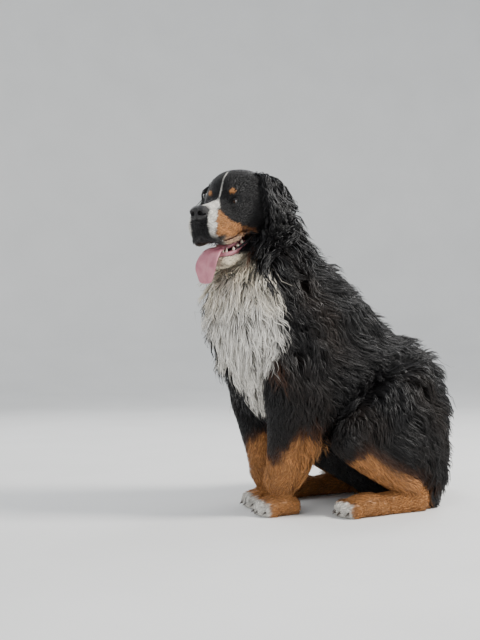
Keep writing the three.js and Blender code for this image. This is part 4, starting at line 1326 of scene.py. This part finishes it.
class Look:
    """A material, with the nodes that feed its shader."""

    def __init__(self, name):
        self.material = bpy.data.materials.new(name)
        self.material.use_nodes = True
        self.nodes = self.material.node_tree.nodes
        self.links = self.material.node_tree.links
        self.shader = self.nodes["Principled BSDF"]

    def fill(self, node, inputs):
        """Sets or links inputs by their names, which have _ for each space."""
        for name, value in inputs.items():
            socket = node.inputs[name.replace("_", " ")]
            if isinstance(value, bpy.types.NodeSocket):
                self.links.new(value, socket)
            else:
                socket.default_value = value

    def add(self, kind, output=0, **inputs):
        """An output of a new node with these inputs."""
        node = self.nodes.new(kind)
        self.fill(node, inputs)
        return node.outputs[output]

    def shade(self, **inputs):
        self.fill(self.shader, inputs)

    def noise(self, scale, detail=4, kind="ShaderNodeTexNoise"):
        place = self.add("ShaderNodeTexCoord", "Object")
        return self.add(kind, Vector=place, Scale=scale, Detail=detail)

    def streaks(self):
        """Noise drawn out along the hairs of each tuft."""
        return self.add("ShaderNodeTexNoise", Vector=self.stored("strand", "Vector"), Scale=1.0,
                        Detail=2)

    def stored(self, name, output):
        """A value that is kept at the points of the mesh."""
        node = self.nodes.new("ShaderNodeAttribute")
        node.attribute_name = name
        return node.outputs[output]

    def ranged(self, value, low, high, start=0.0, end=1.0):
        return self.add("ShaderNodeMapRange", "Result", Value=value, From_Min=start, From_Max=end,
                        To_Min=low, To_Max=high)

    def scaled(self, colour, factor):
        node = self.nodes.new("ShaderNodeVectorMath")
        node.operation = "SCALE"
        self.fill(node, {"Scale": factor})
        self.links.new(colour, node.inputs[0])
        return node.outputs["Vector"]

    def ramp(self, value, stops):
        node = self.nodes.new("ShaderNodeValToRGB")
        self.links.new(value, node.inputs["Fac"])
        elements = node.color_ramp.elements
        while len(elements) < len(stops):
            elements.new(0.5)
        for element, (position, colour) in zip(elements, stops):
            element.position = position
            element.color = (*colour, 1)
        return node.outputs["Color"]

    def bump(self, height, strength, distance):
        self.shade(Normal=self.add("ShaderNodeBump", "Normal", Strength=strength, Distance=distance,
                                   Height=height))


def tinted_material(name, rough, specular, sheen=0.0, hair=True):
    """Fur or skin: the markings' tint, broken up by fine streaks, with gloss that varies."""
    look = Look(name)
    fine = look.streaks() if hair else look.noise(420)
    broad = look.noise(26, 3)
    contrast = (0.5, 1.45, 0.34, 0.66) if hair else (0.72, 1.3)
    colour = look.scaled(look.stored("tint", "Color"), look.ranged(fine, *contrast))
    colour = look.scaled(colour, look.ranged(broad, 0.78, 1.2))
    look.shade(Base_Color=colour, Roughness=look.ranged(broad, *rough), Sheen_Weight=sheen,
               Specular_IOR_Level=specular, Sheen_Roughness=0.4)
    look.bump(fine, 0.4, 0.0006)
    return look.material


def eye_material():
    look = Look("eyeball")
    turned = look.nodes.new("ShaderNodeMath")
    turned.operation = "MULTIPLY_ADD"
    look.links.new(look.noise(900, 3), turned.inputs[0])
    turned.inputs[1].default_value = 0.06
    look.links.new(look.stored("iris", "Fac"), turned.inputs[2])
    stops = [(0.0, (0.002, 0.002, 0.002)), (0.2, (0.002, 0.002, 0.002)),
             (0.25, (0.03, 0.011, 0.004)), (0.42, (0.09, 0.034, 0.011)),
             (0.52, (0.02, 0.008, 0.004)), (0.6, (0.16, 0.11, 0.09)), (1.0, (0.4, 0.33, 0.3))]
    look.shade(Base_Color=look.ramp(turned.outputs[0], stops), Roughness=0.12, Coat_Weight=1.0,
               Coat_Roughness=0.03)
    return look.material


def leather_material():
    look = Look("nose_leather")
    broad = look.noise(60, 3)
    stops = [(0.3, (0.004, 0.0035, 0.004)), (0.7, (0.014, 0.012, 0.013))]
    look.shade(Base_Color=look.ramp(broad, stops), Roughness=look.ranged(broad, 0.3, 0.5))
    look.bump(look.noise(620, kind="ShaderNodeTexVoronoi"), 0.7, 0.001)
    return look.material


def tongue_material():
    look = Look("tongue_flesh")
    fine = look.noise(1100, 3)
    stops = [(0.3, (0.33, 0.11, 0.15)), (0.55, (0.48, 0.19, 0.23)), (0.8, (0.58, 0.28, 0.31))]
    look.shade(Base_Color=look.ramp(look.noise(34, 3), stops), Subsurface_Weight=0.12,
               Roughness=look.ranged(fine, 0.3, 0.55), Subsurface_Radius=(0.006, 0.002, 0.0015))
    look.bump(fine, 0.5, 0.0006)
    return look.material


def hard_material(name, grain, stops, rough, bump):
    """Tooth or claw, with a grain that varies its colour, gloss and height."""
    look = Look(name)
    grain = look.noise(*grain)
    look.shade(Base_Color=look.ramp(grain, stops), Roughness=look.ranged(grain, *rough))
    look.bump(grain, *bump)
    return look.material


ENAMEL_COLOURS = [(0.3, (0.62, 0.53, 0.38)), (0.7, (0.82, 0.77, 0.66))]
HORN_COLOURS = [(0.3, (0.012, 0.010, 0.009)), (0.75, (0.085, 0.064, 0.05))]
FLOOR_COLOURS = [(0.3, (0.8, 0.8, 0.79)), (0.7, (0.84, 0.84, 0.83))]


def dress(piece, material, replaces=()):
    """Gives a finished piece its material and its place in the part."""
    piece.data.materials.clear()
    piece.data.materials.append(material)
    shade_smoothly(piece.data)
    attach(piece, "root")
    if replaces:
        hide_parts(*replaces)


# Eyes, nose, mouth and claws

def eye_axes(side):
    """Across, up and out of an eye, in head coordinates."""
    out = unit(turn("Z", side * EYE_TURN) @ np.array([0, -1.0, 0.06]))
    across = unit(np.cross([0, 0, 1.0], -out)) * side
    return across, unit(np.cross(out, across) * side), out


def on_eye(name, side, points, faces):
    """A mesh from points across, up and out of the middle of an eyeball."""
    across, up, out = eye_axes(side)
    placed = points[:, :1] * across + points[:, 1:2] * up + points[:, 2:] * out
    return head_object(name, placed + mirrored(EYE, side), faces)


CORNEA_RISE = 1.1
EYE_EDGE = 75  # degrees from the pupil's middle at which the eye's colours end


def eyeball(side, name, material):
    points, faces = ellipsoid([0, 0, 0], [1, 1, 1], across=48, down=32)
    facing = points @ np.array([0, 0, 1.0])
    cornea = CORNEA_RISE * smooth(0.84, 0.97, facing)
    piece = on_eye(name, side, points * (EYE_RADIUS - 0.2 + cornea)[:, None], faces)
    iris = piece.data.attributes.new("iris", "FLOAT", "POINT")
    angle = np.degrees(np.arccos(np.clip(facing, -1, 1)))
    iris.data.foreach_set("value", np.clip(angle / EYE_EDGE, 0, 1).astype(np.float32))
    dress(piece, material, [name])


LID_HALF_WIDTH = 13.4
LID_OPENING = (3.5, 4.0)  # above and below the middle
LID_SLANT = 0.06
LID_WIDENING = 0.55  # from the rim to the edge in the socket
SOCKET_HALF_HEIGHT = 15.5
RIM_RISE = 1.7
FOLD_RISE = 0.9
LID_THICKNESS = 0.0012


def eyelids(side, name, material):
    """Both lids as one almond rim over the eyeball that runs out into the socket."""
    rounds, rows = 64, 12
    angle = around(rounds)
    height = np.sin(angle)
    edge_x = LID_HALF_WIDTH * np.cos(angle)
    edge_y = np.where(height > 0, *LID_OPENING) * height * np.abs(height) ** 0.3
    edge_y = edge_y - LID_SLANT * edge_x
    # From the rim outwards the lid widens to the socket, rounded at the rim and folded beyond
    share = np.linspace(0, 1, rows)[:, None]
    x = edge_x * (1 + LID_WIDENING * share)
    y = edge_y * (1 - share) + height * SOCKET_HALF_HEIGHT * share
    folds = FOLD_RISE * np.sin(share * 9.5) * (1 - share)
    radius = EYE_RADIUS + 0.25 + RIM_RISE * smooth(0, 0.14, share) + folds
    lean = np.minimum(np.hypot(x, y), EYE_RADIUS * 1.6) / EYE_RADIUS
    bearing = np.arctan2(y, x)
    rim = [np.sin(lean) * np.cos(bearing), np.sin(lean) * np.sin(bearing), np.cos(lean)]
    points = np.stack([radius * value for value in rim], -1).reshape(-1, 3)
    piece = on_eye(name, side, points, ring_faces(rows, rounds, turned=True))
    solid = piece.modifiers.new("thick", "SOLIDIFY")
    solid.thickness = LID_THICKNESS
    solid.offset = -1
    evaluated(piece)
    set_colours(piece.data, np.tile(LIP * 1.3, (len(piece.data.vertices), 1)))
    dress(piece, material)


# Forms of the nose on the left side, pushed out or in: centre, radii and rise
NOSE_TOUCHES = [
    ([20, -181, -27], [5, 9, 5], 2.2),  # wing
    ([7, -187, -23], [4, 6, 4], 1.2),  # tip
    ([14, -172, -13], [6, 6, 3], -1.2),  # hollow on top
]
# The round part of each nostril and the slit that runs out of it: centre, radii and turn
NOSTRIL = [([12, -189, -33], [6.8, 14, 6.2], 22), ([19.5, -185, -37], [7.5, 11, 2.3], 40)]


def nose_piece(material):
    nose = remeshed(head_object("nose_leather", *nose_form.surface(sides=56, steps=8)), 1.2)
    for side in (1, -1):
        hole = joined([ellipsoid(mirrored(centre, side), radii, side * turned)
                       for centre, radii, turned in NOSTRIL])
        cutter = remeshed(head_object("nostril", *hole), 0.9)
        nose = combined(nose, cutter, "DIFFERENCE")
    nose = remeshed(nose, 1.1)
    points = relaxed(own_points(nose.data), read_edges(nose.data), 4)
    write_points(nose.data, points)
    head = to_head(points)
    cleft = line_at(head[:, 0], 1.5) * smooth(178, 184, -head[:, 1]) * smooth(-22, -28, head[:, 2])
    rise = -2.2 * cleft
    for side in (1, -1):
        for centre, radii, height in NOSE_TOUCHES:
            rise += height * bump(head, mirrored(centre, side), radii)
    write_points(nose.data, points + read_normals(nose.data) * rise[:, None])
    dress(nose, material, ["nose"])


def tongue_piece(material):
    """The tongue with a groove along its middle, raised edges and a slight wave."""
    points, faces = tongue_form().surface(sides=56, steps=10)
    rows = np.array([(out, -ahead, up, half) for ahead, up, out, half, _ in TONGUE], float)
    places = between(rows, np.linspace(0, len(rows) - 1, 60))
    near = np.linalg.norm(points[:, None] - places[None, :, :3], axis=2).argmin(1)
    off = points[:, 0] - places[near, 0]
    share = np.clip(np.abs(off) / places[near, 3], 0, 1)
    ahead, up = -points[:, 1], points[:, 2]
    down = smooth(-126, -160, up)
    middle = np.interp(up, [-203, -178, -150, -130], [159, 157, 149, 132])
    groove = -3.6 * line_at(off, 5.5) + 2.6 * share ** 2
    points[:, 1] -= groove * (smooth(-1, 2, ahead - middle) * down)
    points[:, 1] -= 2.2 * np.sin(up / 13 + 1.0) * share ** 2 * down
    dress(head_object("tongue_flesh", points, faces), material, ["tongue"])


# Left canine and first cheek tooth as out, ahead and up, the way to the next one, and which way
# the teeth point
LOWER_TEETH = {"canine": (22, 108, -131), "cheek": (30, 88, -127), "step": (3, -15, 7.5), "up": 1}
UPPER_TEETH = {"canine": (24, 150, -86), "cheek": (30, 128, -82), "step": (1, -15, 0), "up": -1}
# Radius, height and lean of each tooth
CANINE = (3.7, 18, 3.5)
CHEEK_TEETH = [(4.4, 9.5, 0.5), (4.0, 7.5, 0.5), (4.4, 9.5, 0.5)]
FRONT_TOOTH = (2.2, 10, 0.5)
# Share of the canine's distance out, and distance ahead of it, of each front tooth
FRONT_PLACES = [(0.75, 6), (0.48, 7.5), (0.21, 9)]


def tooth(place, size, up):
    """A curved tapered tooth with its root in the gum."""
    rings, sides = 9, 14
    radius, height, lean = size
    share, angle = pairs(np.linspace(0, 1, rings), around(sides))
    reach = radius * (1 - share ** 1.6) ** 0.7 + 0.05
    x = reach * np.cos(angle)
    y = 1.15 * reach * np.sin(angle) + lean * share ** 2
    z = up * height * (share - 0.5)
    points = np.stack([x, y, z], -1) + np.array([place[0], -place[1], place[2]])
    return points, ring_faces(rings, sides) + [tuple(range(sides))]


def teeth_piece(row, name, material):
    """A canine, three cheek teeth and three front teeth on each side."""
    out, ahead, up = row["canine"]
    placed = [(row["canine"], CANINE)]
    for i, size in enumerate(CHEEK_TEETH):
        placed.append((np.array(row["cheek"]) + i * np.array(row["step"]), size))
    for share, beyond in FRONT_PLACES:
        placed.append(([out * share, ahead + beyond, up], FRONT_TOOTH))
    teeth = [tooth(mirrored(place, side), size, row["up"]) for side in (1, -1)
             for place, size in placed]
    dress(head_object(name, *joined(teeth)), material)


def gum_piece(row, name, material):
    """The gums as one ridge round the roots of the teeth."""
    cheek, canine = np.array(row["cheek"], float), np.array(row["canine"], float)
    line = [cheek + 2.7 * np.array(row["step"]), cheek, canine, canine * [0.4, 1, 1] + [0, 9, 0]]
    line = np.array([[out, -ahead, up - 8.5 * row["up"]] for out, ahead, up in line])
    sides = [ridge(line, 5.5, side).surface(sides=20, steps=2) for side in (1, -1)]
    dress(head_object(name, *joined(sides)), material)


CLAW_REACH = 13
CLAW_DROP = 8
CLAW_RADIUS = 4.6
CLAW_ROOT = (9, 15.5)  # behind the toe's tip, and above the floor


def claw(x, toe):
    """A curved claw that comes down from a toe."""
    rings, sides = 10, 14
    bend, angle = pairs(np.linspace(0, 1, rings), around(sides))
    size = CLAW_RADIUS * (1 - bend ** 2.2) ** 0.6 + 0.1
    ahead = CLAW_REACH * np.sin(bend) / math.sin(1.0)
    drop = CLAW_DROP * (1 - np.cos(bend)) / (1 - math.cos(1.0))
    across = 0.7 * size * np.cos(angle)
    thick = size * np.sin(angle)
    points = np.stack([across, thick * np.sin(bend) - ahead, thick * np.cos(bend) - drop], -1)
    points = points + np.array([x, toe + CLAW_ROOT[0], CLAW_ROOT[1]])
    return points, ring_faces(rings, sides) + [tuple(range(sides))]


def claws_piece(name, paw, material):
    points, faces = joined([claw(x, y - TOE_BACK) for x, y, _ in toe_centres(paw)])
    points[:, 2] = np.maximum(points[:, 2], FLOOR_CLEAR)
    dress(own_object(f"claws_{name}", points, faces), material)


# Stage, lights and camera

PHOTO_AZIMUTH = 65  # degrees from the dog's front to its left
CAMERA_AWAY = 2630  # from the point between the forepaws
CAMERA_ASIDE = 92
CAMERA_HEIGHT = 485
PICTURE_HEIGHT = 640  # pixels
HORIZON_ROW = 325
FOCAL_PIXELS = 1000
SENSOR = 36


def add_camera():
    azimuth = math.radians(PHOTO_AZIMUTH)
    ahead = np.array([-math.sin(azimuth), math.cos(azimuth), 0])
    right = np.array([math.cos(azimuth), math.sin(azimuth), 0])
    at = -CAMERA_AWAY * ahead - CAMERA_ASIDE * right + np.array([0, 0, CAMERA_HEIGHT])
    data = bpy.data.cameras.new("camera")
    data.sensor_width = SENSOR
    data.lens = FOCAL_PIXELS * SENSOR / PICTURE_HEIGHT
    camera = linked(bpy.data.objects.new("camera", data))
    camera.location = to_world(at)
    tilt = math.atan2(HORIZON_ROW - PICTURE_HEIGHT / 2, FOCAL_PIXELS)
    camera.rotation_euler = (math.pi / 2 + tilt, 0, azimuth)
    bpy.context.scene.camera = camera


# Radius and height of the floor and backdrop, in metres
STAGE_RINGS = [(3.4, 0), (4.2, 0.06), (5.0, 0.35), (5.5, 0.9), (5.7, 1.8), (5.8, 4.5)]


def add_stage():
    """A pale floor that curves up into a backdrop all round."""
    sides = 96
    points = [(0, 0, 0)]
    for radius, height in STAGE_RINGS:
        for angle in around(sides):
            points.append((radius * math.cos(angle), radius * math.sin(angle), height))
    faces = [(0, 1 + j, 1 + (j + 1) % sides) for j in range(sides)]
    faces += ring_faces(len(STAGE_RINGS), sides, turned=True, start=1)
    floor = mesh_object("floor", points, faces)
    look = Look("pale_floor")
    look.shade(Base_Color=look.ramp(look.noise(3, 6), FLOOR_COLOURS), Roughness=0.8)
    floor.data.materials.append(look.material)
    shade_smoothly(floor.data)


LIGHTS = {  # place and size in metres, power in watts and colour
    "key": ((1.5, 1.8, 2.7), 0.8, 150, (1, 0.97, 0.92)),
    "front": ((1.9, -2.4, 1.9), 1.8, 38, (1, 1, 1)),
    "fill": ((-2.4, -0.6, 1.8), 1.8, 26, (1, 1, 1)),
    "back": ((-1.2, 2.4, 2.4), 1.4, 40, (1, 1, 1)),
}
LIGHTS_AIM = (0, 0, 0.45)
SKY_COLOUR = (0.86, 0.92, 1.0, 1)
SKY_STRENGTH = 0.62


def add_lights():
    world = bpy.data.worlds.new("studio")
    world.use_nodes = True
    background = world.node_tree.nodes["Background"]
    background.inputs["Color"].default_value = SKY_COLOUR
    background.inputs["Strength"].default_value = SKY_STRENGTH
    bpy.context.scene.world = world
    for name, (at, size, power, colour) in LIGHTS.items():
        data = bpy.data.lights.new(name, "AREA")
        data.size = size
        data.energy = power
        data.color = colour
        light = linked(bpy.data.objects.new(name, data))
        light.location = at
        aim = Vector(LIGHTS_AIM) - Vector(at)
        light.rotation_euler = aim.to_track_quat("-Z", "Y").to_euler()


# The whole dog

FLESH_NODES = [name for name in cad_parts
               if not name.startswith(("eye_", "nose", "tongue"))]


def add_dog():
    skin = unwrapped(whole_skin())
    set_colours(skin.data, skin_colours(own_points(skin.data)))
    dress(skin, tinted_material("skin", (0.4, 0.6), 0.3, hair=False), FLESH_NODES)
    grow_coat(Field(skin), skin)
    eye = eye_material()
    lid_skin = tinted_material("lid_skin", (0.35, 0.5), 0.45, hair=False)
    for side, name in ((1, "left"), (-1, "right")):
        eyeball(side, f"eye_{name}", eye)
        eyelids(side, f"eyelids_{name}", lid_skin)
    nose_piece(leather_material())
    tongue = tongue_material()
    tongue_piece(tongue)
    enamel = hard_material("tooth_enamel", (160, 3), ENAMEL_COLOURS, (0.18, 0.32), (0.2, 0.0004))
    for row, name in ((LOWER_TEETH, "lower"), (UPPER_TEETH, "upper")):
        teeth_piece(row, f"teeth_{name}", enamel)
        gum_piece(row, f"gums_{name}", tongue)
    horn = hard_material("claw_horn", (240, 4), HORN_COLOURS, (0.3, 0.5), (0.35, 0.0006))
    for name, paw in PAWS.items():
        claws_piece(name, paw, horn)


add_camera()
add_stage()
add_lights()
add_dog()
